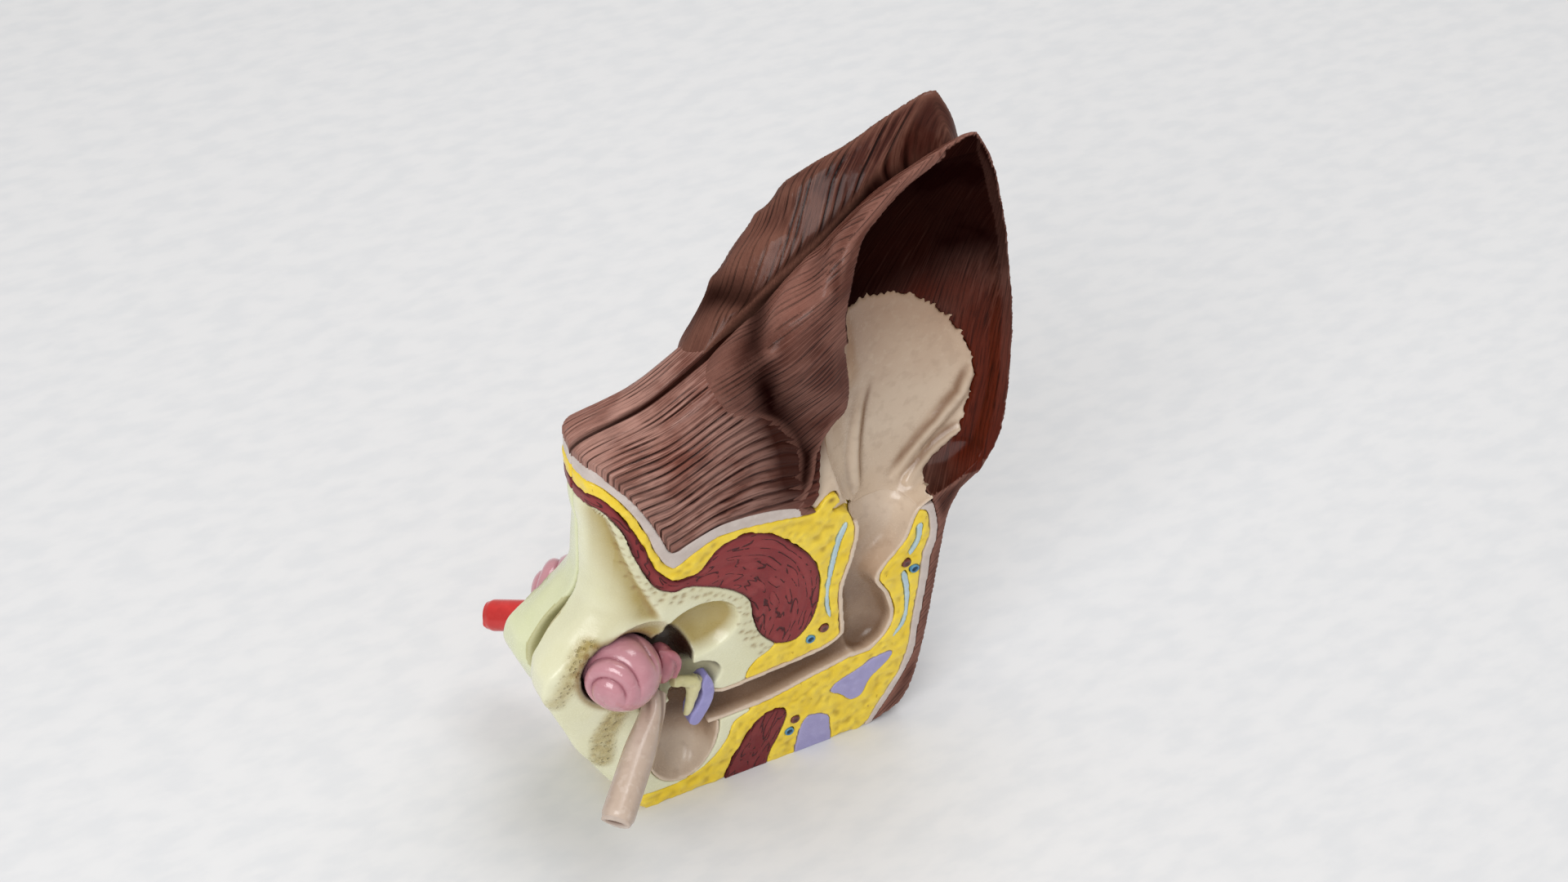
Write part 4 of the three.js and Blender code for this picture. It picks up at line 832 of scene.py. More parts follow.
@dataclass
class Hair:
    """Carved hair of the head, the flap and the cheek."""

    forms: Forms
    head_rows: int = 236
    head_columns: int = 200
    wall_columns: int = 16
    wall_height: float = 105.0
    head_end: float = 46.0
    head_drop: float = 30.0         # height over which the head rounds down, for the spacing of its locks
    corner_passes: int = 14
    lock_pitch: float = 1.08
    lock_depth: float = 0.5
    gather: float = 0.25
    flap_grain: float = 0.485
    flank_pitch: float = 1.5
    flank_depth: float = 0.26
    seam_gap: float = 0.75
    tip: tuple[float, float] = (98.0, 196.0)
    # Line and spot of the painted shade in the hollow between the head and the flap.
    valley_line: tuple = ((35, 3, 140), (30, 10, 137), (31, 14, 128), (35, 15.5, 115), (41, 15.6, 100))
    valley_spot: Spot = ((40, 15, 96), (7, 5, 9), 0.5)
    deeper_locks: Spot = ((12, 15, 97), (14, 6, 9), 0.3)
    flatter_corner: Spot = ((-20, 14, 103), (6, 7, 7), 0.85)
    red_spots: tuple[Spot, ...] = (((14, 11, 112), (7, 3, 4), 0.6), ((40, 8, 146), (6, 7, 6), 0.5))
    # A painted highlight on the flap's crest.
    crest_highlight: Spot = ((38, 8, 148), (8, 8, 8), 1.0)
    fringe_glow: Spot = ((77, 6, 131), (10, 14, 6), 1.0)
    swells: tuple[Spot, ...] = (
        ((33, 10, 145), (5, 5, 3.4), 0.9), ((40, 6, 147.5), (6, 5, 3.2), 1.0), ((46, 4, 151), (5, 4, 3.2), 0.7),
        ((33, 4, 140), (5, 5, 3.4), -0.9), ((40, 8, 154), (6, 6, 3.4), -0.8), ((47, 10, 160), (7, 6, 3), 0.6),
        ((38, 16, 133), (6, 5, 8), 0.9), ((46, 16, 124), (5, 5, 7), 0.6), ((31, 13, 130), (3.4, 5, 9), -0.8))

    @staticmethod
    def numbered(lines: Array, pitch: float, wander: float, seed: int) -> Array:
        """Hair lines by number: u stays, v becomes v / pitch + a smooth bend of up to wander pitches."""
        bend = wander * (noise(lines, (30, 10), seed) + 0.2 * noise(lines, (9, 3), seed + 1))
        return np.column_stack([lines[:, 0], lines[:, 1] / pitch + bend])

    @staticmethod
    def carved(flow: Array, seed: int) -> tuple[Array, Array]:
        """Height of numbered lines, force (|sin(pi v)|^0.8 - 0.6), and the force: it changes by line and along it."""
        lines = np.column_stack([flow[:, 0], 7.3 * np.round(flow[:, 1])])
        force = eased(noise(lines, (13, 1), seed), -0.5, 0.25)
        return force * (np.abs(np.sin(math.pi * flow[:, 1])) ** 0.8 - 0.6), force

    def opened(self, points: Array) -> Array:
        """Points beside the mating face drawn back: y + gap (0.3 + exp(-((x - 34) / 15)^2)) (1 - eased(y))."""
        gap = self.seam_gap * (0.3 + bell(points[:, 0], 34, 15))
        return points + np.outer(gap * (1 - eased(points[:, 1], 0.15, 2.4)), (0, 1, 0))

    def head(self) -> Casting:
        """Carved top of the head: for each depth y, up the nose side and along the roof.

        Returns:
            A closed surface, its grooves running along x.
        """
        forms = self.forms
        angle = np.linspace(0.0001, math.asin((HALF_DEPTH / ROOF_REACH) ** 2), 4000)
        y = ROOF_REACH * np.sqrt(np.sin(angle))
        arc = travelled(np.column_stack([y, self.head_drop * (1 - np.sqrt(np.cos(angle)))]))
        across = np.linspace(np.interp(MATING_FACE, y, arc), arc[-1], self.head_rows)
        share = (np.interp(across, arc, y) - MATING_FACE) / (HALF_DEPTH - MATING_FACE)
        wall = forms.left_wall(np.array([self.wall_height]), share)[0]
        foot, corner = forms.skin_height(wall)[:, None], forms.roof(wall, share)[:, None]
        wall, share = wall[:, None], share[:, None]
        up = np.linspace(0, 1, self.wall_columns, endpoint=False)
        roof_x = wall + (self.head_end - wall) * np.linspace(0, 1, self.head_columns)
        ring_x = np.hstack([wall + 0 * up, roof_x])
        ring_z = np.hstack([foot + (corner - foot) * up, forms.roof(roof_x, share)])
        for _ in range(self.corner_passes):
            for line in (ring_x, ring_z):
                line[:, 1:-1] = (line[:, :-2] + 2 * line[:, 1:-1] + line[:, 2:]) / 4
        carved_columns = ring_x.shape[1]
        under_x = self.head_end + (wall - self.head_end) * np.linspace(0, 1, 26)[1:-1]
        ring_x, ring_z = np.hstack([ring_x, under_x]), np.hstack([ring_z, forms.skin_height(under_x) - 0.1])
        casting = Solid.skin(ring_x, deep(share), ring_z).plain()
        columns = ring_x.shape[1]
        gone = np.pad(np.cumsum(np.hypot(np.diff(ring_x), np.diff(ring_z)), 1), ((0, 0), (1, 0)))
        upper = np.tile(np.arange(columns) < carved_columns, self.head_rows)
        place = casting.points
        x, y, _ = place.T
        back = (across[-1] - np.repeat(across, columns)) * (1 + self.gather * eased(x, 35, self.head_end))
        casting.flow = self.numbered(np.column_stack([gone.ravel(), across[-1] - back]), self.lock_pitch, 0.7, 1)
        depth = 0.2 + 0.8 * eased(y, 1.5, 7) + blots(place, [self.deeper_locks])
        depth = depth * (1 - blots(place, [self.flatter_corner])) * upper
        grooves, force = self.carved(casting.flow, 5)
        force = np.maximum(force, 0.8 * eased(y, 8, 12))
        shaped = casting.raised(self.lock_depth * depth * grooves)
        edge = 0.8 * bell(shaped.points[:, 1], 0, 0.8) * upper
        shaped.points = self.opened(shaped.points - np.outer(edge, (0, 0, 1)))
        worn_end = eased(shaped.points[:, 0] + 0.8 * noise(shaped.points, 1.5, 14), 39.5, 42)
        # Lighter towards the nose and darker towards the flap: painted light and shade; the valley and the mating
        # face get painted shade. The reddish tint is the hair's own colour.
        return shaped.painted(
            relief=force * np.clip(depth, 0, 1), worn=0.6 * (1 - eased(x, -16, 12)) * upper,
            tint=self.red_patch(shaped.points) + 0.7 * worn_end,
            shade=self.valley(place) + self.seam_shade(place) + 0.35 * eased(x, 0, 36))

    @staticmethod
    def seam_shade(points: Array) -> Array:
        """Painted shade beside the mating face, where the gap between the halves falls dark."""
        return 1 - eased(points[:, 1], 0.2, 1.1)

    def red_patch(self, points: Array) -> Array:
        """Where the hair is redder: at the roughened patch and on the ridge below the flap."""
        return np.clip(blots(points, self.red_spots), 0, 1)

    def valley(self, points: Array) -> Array:
        """Painted shade in the hollow between the head and the flap."""
        gap = near_line(points, self.valley_line)[1]
        return np.clip(0.85 * bell(gap, 0, 5) + blots(points, [self.valley_spot]), 0, 1)

    def flow_to_tip(self, points: Array) -> Array:
        """Hair lines that run to the flap's tip: u is the distance from it, v the angle about it and the depth."""
        run = points[:, [0, 2]] - self.tip
        return np.column_stack([np.hypot(*run.T), 62 * np.arctan2(run[:, 0], -run[:, 1]) + 0.4 * points[:, 1]])

    @staticmethod
    def flow_up_flank(points: Array) -> Array:
        """Hair lines up the flank: u = 0.64 x + 0.77 z, v = y + 0.33 x + 0.007 (x - 20)^2 - 0.948 z across them."""
        x, y, z = points.T
        return np.column_stack([0.64 * x + 0.77 * z, y + 0.33 * x + 0.007 * (x - 20) ** 2 - 0.948 * z])

    @staticmethod
    def flow_over_crest(points: Array) -> Array:
        """Hair lines over the crest: u = 0.64 x + 0.77 z, v = 1.1 y - 0.26 x - 0.35 z across them."""
        x, y, z = points.T
        return np.column_stack([0.64 * x + 0.77 * z, 1.1 * y - 0.26 * x - 0.35 * z])

    def inside(self, casting: Casting) -> tuple[Array, Array]:
        """1 on the inside of the flap, and 1 on the rim that faces out of the cut.

        Args:
            casting: the flap's surface.
        Returns:
            Two masks of the points.
        """
        (x, y, z), (out_x, out_y, out_z) = casting.points.T, casting.normals.T
        left, right, _, _ = through(BOWL_HEIGHTS, BOWL_PLAN, z).T
        across = np.abs((x - (left + right) / 2) / ((right - left) / 2))
        wall = (x > 76) & (y > 1) & (z > 80) & (out_x < 0.3) & (out_y > -0.15) & ((out_z < 0.4) | (z < 140))
        bowl = (across < 1.02) & (y > self.forms.floor_of_bowl(x, z) - 1) & (z < 174)
        rim = eased(out_y, 0.4, 0.85) * (across >= 1) * eased(z, 94, 112)
        return (bowl | wall).astype(float), rim * eased(-np.abs(across - 1), -0.22, -0.1)

    def flap(self) -> Casting:
        """Hair of the flap, inside and out, and of the cheek below it.

        Returns:
            One closed surface with soft rims.
        """
        forms = self.forms
        cheek = forms.column.keep(Solid.box((60, -1, -5), (120, 40, FLAP_FOOT + 3)))
        low = Solid.room(FUR_INSIDE).keep(Solid.slab(-SLAB_REACH, FLAP_FOOT + 1))
        lump = Solid.room(RIM_LUMP, HALF_DEPTH - CONCHA_RIM_DEPTH - JOINT_GAP)
        bare = forms.pocket.keep(Solid.room(forms.fringe))
        whole = forms.flap.join(cheek).take(low, Solid.room(FAT_OUTLINE), forms.clear, bare, lump)
        casting = whole.cast(self.flap_grain, 6)
        place = casting.points
        x, y, _ = place.T
        inner, rim = self.inside(casting)
        fields = np.stack([self.numbered(way(place), self.flank_pitch, 0.6, 9) for way in (
            self.flow_up_flank, self.flow_over_crest, self.flow_to_tip)])
        region = np.where(inner > 0.5, 2, (casting.normals[:, 1] < 0.3).astype(int))
        grooves, force = self.carved(fields[region, np.arange(len(place))], 12)
        by_face = region[casting.corners[starts(casting.sizes)]]
        casting.flow = fields[np.repeat(by_face, casting.sizes), casting.corners]
        share = np.clip((y - MATING_FACE) / (HALF_DEPTH - MATING_FACE), 0, 1)
        above = np.where(x < 52, place[:, 2] - forms.roof(x, share), 9)
        soft = (0.4 + 0.6 * eased(above, 0, 3)) * eased(y, 0.5, 2)
        plain = (1 - inner) * (1 - rim)
        shaped = casting.raised((self.flank_depth * soft * grooves + blots(place, self.swells)) * plain)
        shaped = shaped.light_and_shade_by_curvature(4, 3)
        shaped.points = self.opened(shaped.points)
        z = shaped.points[:, 2]
        # Lighter: painted highlight on edges and on the crest, the flap's foot blended to the head's colour, and the
        # rim's paler paint.
        worn = shaped.paint["worn"] + blots(place, [self.crest_highlight]) + 0.5 * (1 - eased(above, 0.5, 6))
        right = eased(x, 80, 90) * (1 - eased(z, 112, 146))
        dark = 0.5 + 0.5 * eased(z + 0.35 * (70 - x), 122, 142)
        # The strip of the flap beside the mating face, high up, painted dark as shade.
        mating_side_shade = (1 - eased(y, 0.6, 2.8)) * eased(z, 130, 146)
        # Painted shade in the valley, at the seam and on that strip.
        valley_seam_shade = (1.2 * self.valley(place) + self.seam_shade(place) + mating_side_shade) * plain
        return shaped.painted(
            relief=np.where(inner > 0.5, 0.4, plain) * force * soft, worn=worn * plain + 0.15 * rim,
            tint=inner * (blots(place, [self.fringe_glow]) + right) + self.red_patch(place) * plain,
            shade=inner * dark * (1 - 0.4 * right) + valley_seam_shade)


@dataclass
class Section:
    """Bands of the cut: skin, fat, muscle and bone, each a casting of its own."""

    forms: Forms
    skin_grain: float = 0.42
    fat_grain: float = 0.5
    muscle_grain: float = 0.42
    bone_grain: float = 0.5
    skin_swell: float = 0.07
    pore_rows: tuple[float, ...] = (1.3, 2.6, 3.8)
    pore_step: float = 2.5
    pore_depth: float = 0.3
    bulla: Ball = ((11.4, HALF_DEPTH, 21.8), (9.4, 10, 15.2))
    slot: Ball = ((13.4, HALF_DEPTH, 41.2), (8.2, 7.4, 5.8))
    attic: Ball = ((15.6, HALF_DEPTH + 3, 58), (11.2, 9, 9.2))
    shallow: Ball = ((-0.5, HALF_DEPTH + 4, 60.2), (11.6, 7.2, 7.4))
    cochlea_pit: Ball = ((-4.7, HALF_DEPTH - 1, 52.1), (10.2, 10.4, 10.4))
    vestibule_pit: Ball = ((7.6, HALF_DEPTH - 2, 49.6), (6.6, 6.4, 9.8))
    bulla_skin: float = 0.9
    vessel_room: float = 1.3
    # A dark spot painted at the end of the fat's lip.
    lip_dark_spot: Spot = ((49.6, HALF_DEPTH, 86.6), (1.0, 2.5, 0.7), 1.0)
    # Spot of painted shade in the attic hollow.
    attic_shade: Spot = ((12, 13, 59), (17, 13, 9), 2.2)
    wall_edge: tuple = ((-5.5, 98.8), (-2.6, 87.8), (0.3, 79.3), (3.3, 72.5), (6.1, 66))
    wall_dent: float = 1.5
    rough_runs: tuple = (((-12.5, 13, 61.5), (-20.5, 10.5, 47)), ((-6.5, 14.8, 38), (-9.6, 14.4, 31), (-10, 14, 22)))
    muscle_run: tuple = ((-22, 102.3), (-8, 103.2), (-3.4, 97.6), (1.4, 85.6), (6, 76), (14, 75.2), (23, 77),
                         (31, 74.6), (37.4, 68), (40.4, 58), (39.6, 50), (38, 44))
    centre_gap: float = 1.1

    def scalp_skin(self) -> Casting:
        """Cut skin under the hair."""
        outline = np.vstack([SKIN_TOP, pushed(FAT_LINE, JOINT_GAP)[::-1]])
        casting = Solid.bar(outline).keep(self.forms.outside).cast(self.skin_grain)
        return casting.waved(self.skin_swell, 3.5, 11).light_and_shade_by_curvature()

    def cheek_skin(self) -> Casting:
        """Cut skin of the cheek, from the foot to the ear mouth."""
        outline = np.vstack([smooth(CHEEK_SKIN), pushed(smooth(CHEEK_FAT), JOINT_GAP)[::-1]])
        low = Solid.slab(-SLAB_REACH, CANAL_MOUTH)
        casting = Solid.bar(outline).keep(self.forms.outside, low).take(self.forms.pocket).cast(self.skin_grain)
        return casting.waved(self.skin_swell, 3.5, 12).light_and_shade_by_curvature()

    def fat_body(self, inlays: Iterable[Array], vessels: Iterable[Sequence[float]]) -> Casting:
        """Fat with lumps in its face, and rooms for the small castings.

        Args:
            inlays: outlines of the castings set into it.
            vessels: x, z places of the vessels.
        Returns:
            The fat's surface.
        """
        floor = HALF_DEPTH - CAST_DEPTH
        turn = np.linspace(0, 2 * math.pi, 24, endpoint=False)
        ring = np.column_stack([np.cos(turn), np.sin(turn)]) * self.vessel_room
        rooms = [Solid.room(outline, floor) for outline in inlays]
        rooms += [Solid.bar(ring + place, floor) for place in vessels]
        whole = Solid.bar(FAT_OUTLINE).keep(self.forms.outside).take(
            Solid.room(MUSCLE_OUTLINE), Solid.room(BONE_OUTLINE), self.forms.pocket, *rooms)
        casting = whole.cast(self.fat_grain)
        place = casting.points * (1, 0.35, 1)
        swell = 0.3 * noise(place, 2.3, 21) + 0.12 * noise(place, 1.1, 22)
        shaped = casting.raised(np.clip(swell, -0.3, 0.34)).light_and_shade_by_curvature()
        return shaped.painted(shade=blots(shaped.points, [self.lip_dark_spot]))

    def temporal_muscle(self) -> Casting:
        """Muscle with engraved fibres that follow its run.

        Returns:
            Its surface, darker at the rim.
        """
        casting = Solid.bar(MUSCLE_OUTLINE).keep(self.forms.outside).cast(self.muscle_grain)
        casting.flow = self.run_flow(casting, smooth(self.muscle_run))
        shaped = casting.raised(0.1 * noise(casting.flow, (4.5, 1.4), 31)).light_and_shade_by_curvature()
        gap = near_line(shaped.flat, MUSCLE_OUTLINE, closed=True)[1]
        return shaped.painted(shade=1 - eased(gap, 0.1, 1.0))

    @staticmethod
    def run_flow(casting: Casting, run: Sequence[Sequence[float]]) -> Array:
        """u along a run of x, z points and v across it."""
        along, gap, side = near_line(casting.flat, run)
        return np.column_stack([along, gap * side])

    def pores(self) -> Array:
        """x, z, radius of the pores: rows beside the muscle's lower edge, each a little out of line.

        Returns:
            A row for each pore.
        """
        found = []
        for row, offset in enumerate(self.pore_rows):
            line = pushed(MUSCLE_UNDERSIDE, -offset)
            gone = travelled(line)
            at = np.arange(10 + row * 1.4, gone[-1], self.pore_step * (1 + 0.25 * row))
            at = at + 0.7 * np.sin(at * 1.9 + row)
            shift = 0.5 * np.sin(at * 2.7 + 2 * row)
            x, z = (np.interp(at, gone, values) + shift for values in line.T)
            found.append(np.column_stack([x, z, 0.44 + 0.14 * np.sin(at * 3.3 + row)]))
        return np.vstack(found)

    def rough_bone(self, points: Array) -> Array:
        """Where the bone is open and tan: along a run beside the cochlea and one under it."""
        gaps = (near_line(points, run)[1] for run in self.rough_runs)
        return np.clip(sum(1 - eased(gap, 1.4, 4.4) for gap in gaps), 0, 1)

    def skull_bone(self, tube: Solid, drum: Solid) -> Casting:
        """Bone with the hollows of the middle and inner ear, pores, and an opening seam at its mating edge.

        Args:
            tube: room for the auditory tube.
            drum: room for the ear drum.
        Returns:
            The bone's surface.
        """
        pits = (Solid.ball(*pit) for pit in (
            self.slot, self.attic, self.shallow, self.cochlea_pit, self.vestibule_pit))
        whole = Solid.bar(BONE_OUTLINE).keep(self.forms.outside).take(
            Solid.room(MUSCLE_OUTLINE), self.forms.pocket, drum, tube,
            Solid.ball(*self.bulla, self.bulla_skin + JOINT_GAP), *pits)
        casting = whole.cast(self.bone_grain, 6)
        _, y, z = casting.points.T
        spots = self.pores()
        offset = casting.flat[:, None] - spots[:, :2]
        dent = np.exp(-np.sum((offset / (spots[:, 2:] * (1.2, 0.8))) ** 2, -1)).max(1)
        dent = dent * (y > 10.5) * (casting.normals[:, 1] > 0.35)
        _, gap, side = near_line(casting.flat, self.wall_edge)
        wall = (side < 0) * eased(y, 2, 7) * eased(z, 63, 69) * (casting.normals[:, 0] < 0.5)
        sunk = wall * eased(gap, 0, 2) * bell(gap, 0, 6.5)
        rough = self.rough_bone(casting.points)
        swell = (-self.pore_depth * dent - self.wall_dent * sunk + 0.3 * rough * noise(casting.points, 1.2, 41)
                 + 0.08 * noise(casting.points, 5, 42))
        shaped = casting.raised(swell).light_and_shade_by_curvature(hollow_at=0.16)
        place = shaped.points
        # The seam between the halves is opened, and its opening painted darker as shade.
        seam = bell(place[:, 2], 57, 8.5) * (1 - eased(place[:, 1], 0.3, 2.4)) * (place[:, 0] < 0)
        place[:, 1] += self.centre_gap * seam
        _, y, z = place.T
        # Painted shade in the attic hollow, deeper behind the section face.
        tan = eased(HALF_DEPTH - y, 0.3, 4) * blots(place, [self.attic_shade])
        reach = np.linalg.norm(place - self.cochlea_pit[0], axis=1)
        band = 0.3 * bell(near_line(shaped.flat, MUSCLE_UNDERSIDE)[1], 0, 5) * (y > 10)
        slot, *pits = (np.linalg.norm((place - np.array(centre)) / radii, axis=1) for centre, radii in (
            self.slot, self.vestibule_pit, self.cochlea_pit))
        # Pits and the slot's top painted near black: painted shadow.
        dark_pits = (1 - eased(np.minimum(*pits), 0.98, 1.12)) * eased(HALF_DEPTH - y, 0.2, 2)
        dark_slot = (1 - eased(slot, 1.0, 1.12)) * eased(z, 40, 44) * eased(HALF_DEPTH - y, 0.1, 1.4)
        # The tint is painted shade in the attic, on the dented wall and in the seam opening, and the bone's own
        # colour on rough patches and beside the muscle.
        return shaped.painted(
            tint=tan + 1.1 * sunk + 0.7 * (seam > 0.25) + 0.8 * rough + band, relief=rough,
            shade=0.7 * dent + 0.9 * bell(reach, 11.1, 0.9) * eased(y, 9, 12), void=np.maximum(dark_pits, dark_slot))


@dataclass
class Hollow:
    """Bare skin of the bowl, lining of the canal and of the bulla."""

    forms: Forms
    skin_grain: float = 0.5
    lining_grain: float = 0.42
    fold_sink: float = 0.9
    rim_recess: float = 4.5
    folds: tuple = (
        ((92.8, 108, 1.0), (89.8, 98.5, 2.2), (84.4, 90.6, 2.7), (78.4, 83.4, 2.4), (72.4, 76.6, 1.4)),
        ((92, 89.6, 1.2), (86.4, 84.6, 2), (80, 79.4, 2.2), (75, 75.4, 1.4)),
        ((63.8, 110.6, 0.4), (61.8, 99, 1.9), (60.6, 89.6, 2.6), (60.8, 78, 1.8)))
    fold_sides: tuple[int, ...] = (-1, -1, 1)
    bulb: tuple = ((49, 85), (7, 8))
    # Spot of painted shadow at the top of the rim lump.
    lump_shadow: tuple = ((46.5, 103), (5, 5.5))
    pale_floor: tuple = ((61, 38), (7, 6))
    bulla_mouth: tuple = ((-10, -5), (40, -5), (40, 33), (-10, 36))
    swelling: float = 0.9

    def fold(self, stations: Sequence[Sequence[float]]) -> Solid:
        """A tapered fold that lies on the floor of the bowl."""
        x, z, radius = np.array(stations).T
        return Solid.rod(np.column_stack([x, self.forms.floor_of_bowl(x, z) - self.fold_sink, z]), radius)

    def concha_skin(self) -> Casting:
        """Bare skin of the bowl with its folds and the lump on the rim.

        Returns:
            One closed sheet.
        """
        forms, bare = self.forms, Solid.bar(self.forms.fringe, 0)
        lump = Solid.room(RIM_LUMP, HALF_DEPTH - CONCHA_RIM_DEPTH, -JOINT_GAP)
        sheet = forms.lining.join(lump).keep(forms.outside, bare, Solid.slab(CANAL_MOUTH - 3, 300)).take(
            forms.clear, Solid.room(FAT_OUTLINE))
        folds = (self.fold(stations).keep(forms.lining, bare) for stations in self.folds)
        casting = sheet.join(*folds).cast(self.skin_grain, 12)
        x, y, z = casting.points.T
        bulb = blot(casting.flat, *self.bulb)
        front = eased(y, 6, 15.6) * eased(z, 77, 81) * (1 - eased(x, 55, 59))
        casting.points[:, 1] -= self.rim_recess * (1 - bulb) * front
        under = 0.5 * (1 - eased(z, CANAL_MOUTH - 3, CANAL_MOUTH + 4)) * (y < HALF_DEPTH - 1)
        shaped = casting.raised(0.15 * noise(casting.points, (9, 9, 16), 51) - under)
        shaped = shaped.light_and_shade_by_curvature(6, hollow_at=0.3, edge_at=0.5)
        # Painted shade along one side of each fold.
        fold_shade = np.zeros(len(x))
        for stations, side in zip(self.folds, self.fold_sides):
            along, gap, turn = near_line(casting.flat, np.array(stations)[:, :2])
            ends = eased(along, 0, 6) * (1 - eased(along, along.max() - 6, along.max()))
            fold_shade = np.maximum(fold_shade, ends * bell(gap, 1.9, 0.8) * np.where(turn == side, 1, 0.2))
        edge = blot(casting.flat, *self.lump_shadow) * eased(y, 8, 13)
        # Painted shade above the lump, in the shadow at its top and over the upper bowl; painted light low in the
        # bowl and on the lump.
        return shaped.painted(
            shade=(0.85 * fold_shade + 0.8 * front * (1 - bulb) * eased(z, 92, 106) + 0.7 * edge
                   + 0.35 * eased(z, 112, 134)),
            tint=0.9 * (1 - eased(z, 90, 130)) + bulb)

    def canal_lining(self, swollen: bool, drum: Solid) -> Casting:
        """Lining of the canal, thicker where it is swollen.

        Args:
            swollen: whether this is the infected ear.
            drum: room for the ear drum.
        Returns:
            The lining's surface; its rim at the cut is painted paler, and further in it is darkened with painted
            shade.
        """
        forms = self.forms
        low = Solid.slab(-SLAB_REACH, CANAL_MOUTH).join(
            Solid.bar(forms.fringe, 0).keep(Solid.slab(62, CANAL_MOUTH + 3)))
        inner = forms.hollow(-self.swelling) if swollen else forms.clear
        casting = forms.lining.keep(forms.outside, low).take(inner, drum).cast(self.lining_grain, 5)
        _, y, z = casting.points.T
        bumps = 0.22 * noise(casting.points, 2.2, 53) if swollen else 0.06 * noise(casting.points, 3, 53)
        under = 0.5 * eased(z, CANAL_MOUTH - 4, CANAL_MOUTH + 3) * (y < HALF_DEPTH - 1)
        # Painted shade that deepens down the canal and behind the section face, lighter on one spot of the floor.
        dark = np.clip(0.9 - 1.2 * eased(z, 38, 66) - 0.5 * blot(casting.flat, *self.pale_floor), 0, 1)
        return casting.raised(bumps - under).light_and_shade_by_curvature(5, hollow_at=0.25).painted(
            tint=np.maximum(cut_rim(y), 0.9 * eased(z, 54, 70)),
            shade=eased(HALF_DEPTH - y, 0.3, 3) * dark)

    def bulla_lining(self, section: Section, tube: Solid, drum: Solid) -> Casting:
        """Lining of the round hollow behind the ear drum.

        Args:
            section: gives the bulla's place.
            tube: room for the auditory tube.
            drum: room for the ear drum.
        Returns:
            The lining's surface.
        """
        shell = Solid.ball(*section.bulla, section.bulla_skin).keep(self.forms.outside, Solid.bar(self.bulla_mouth))
        casting = shell.take(Solid.ball(*section.bulla), self.forms.pocket, drum, tube).cast(self.lining_grain)
        _, y, z = casting.points.T
        # Painted shade over the upper inside and painted light low down; the rim at the cut is paler.
        return casting.waved(0.08, 3.2, 54).light_and_shade_by_curvature(4, hollow_at=0.3).painted(
            tint=np.maximum(cut_rim(y), 1 - eased(z, 12, 18)),
            shade=eased(z, 14, 24) * eased(HALF_DEPTH - y, 0.6, 3.5))


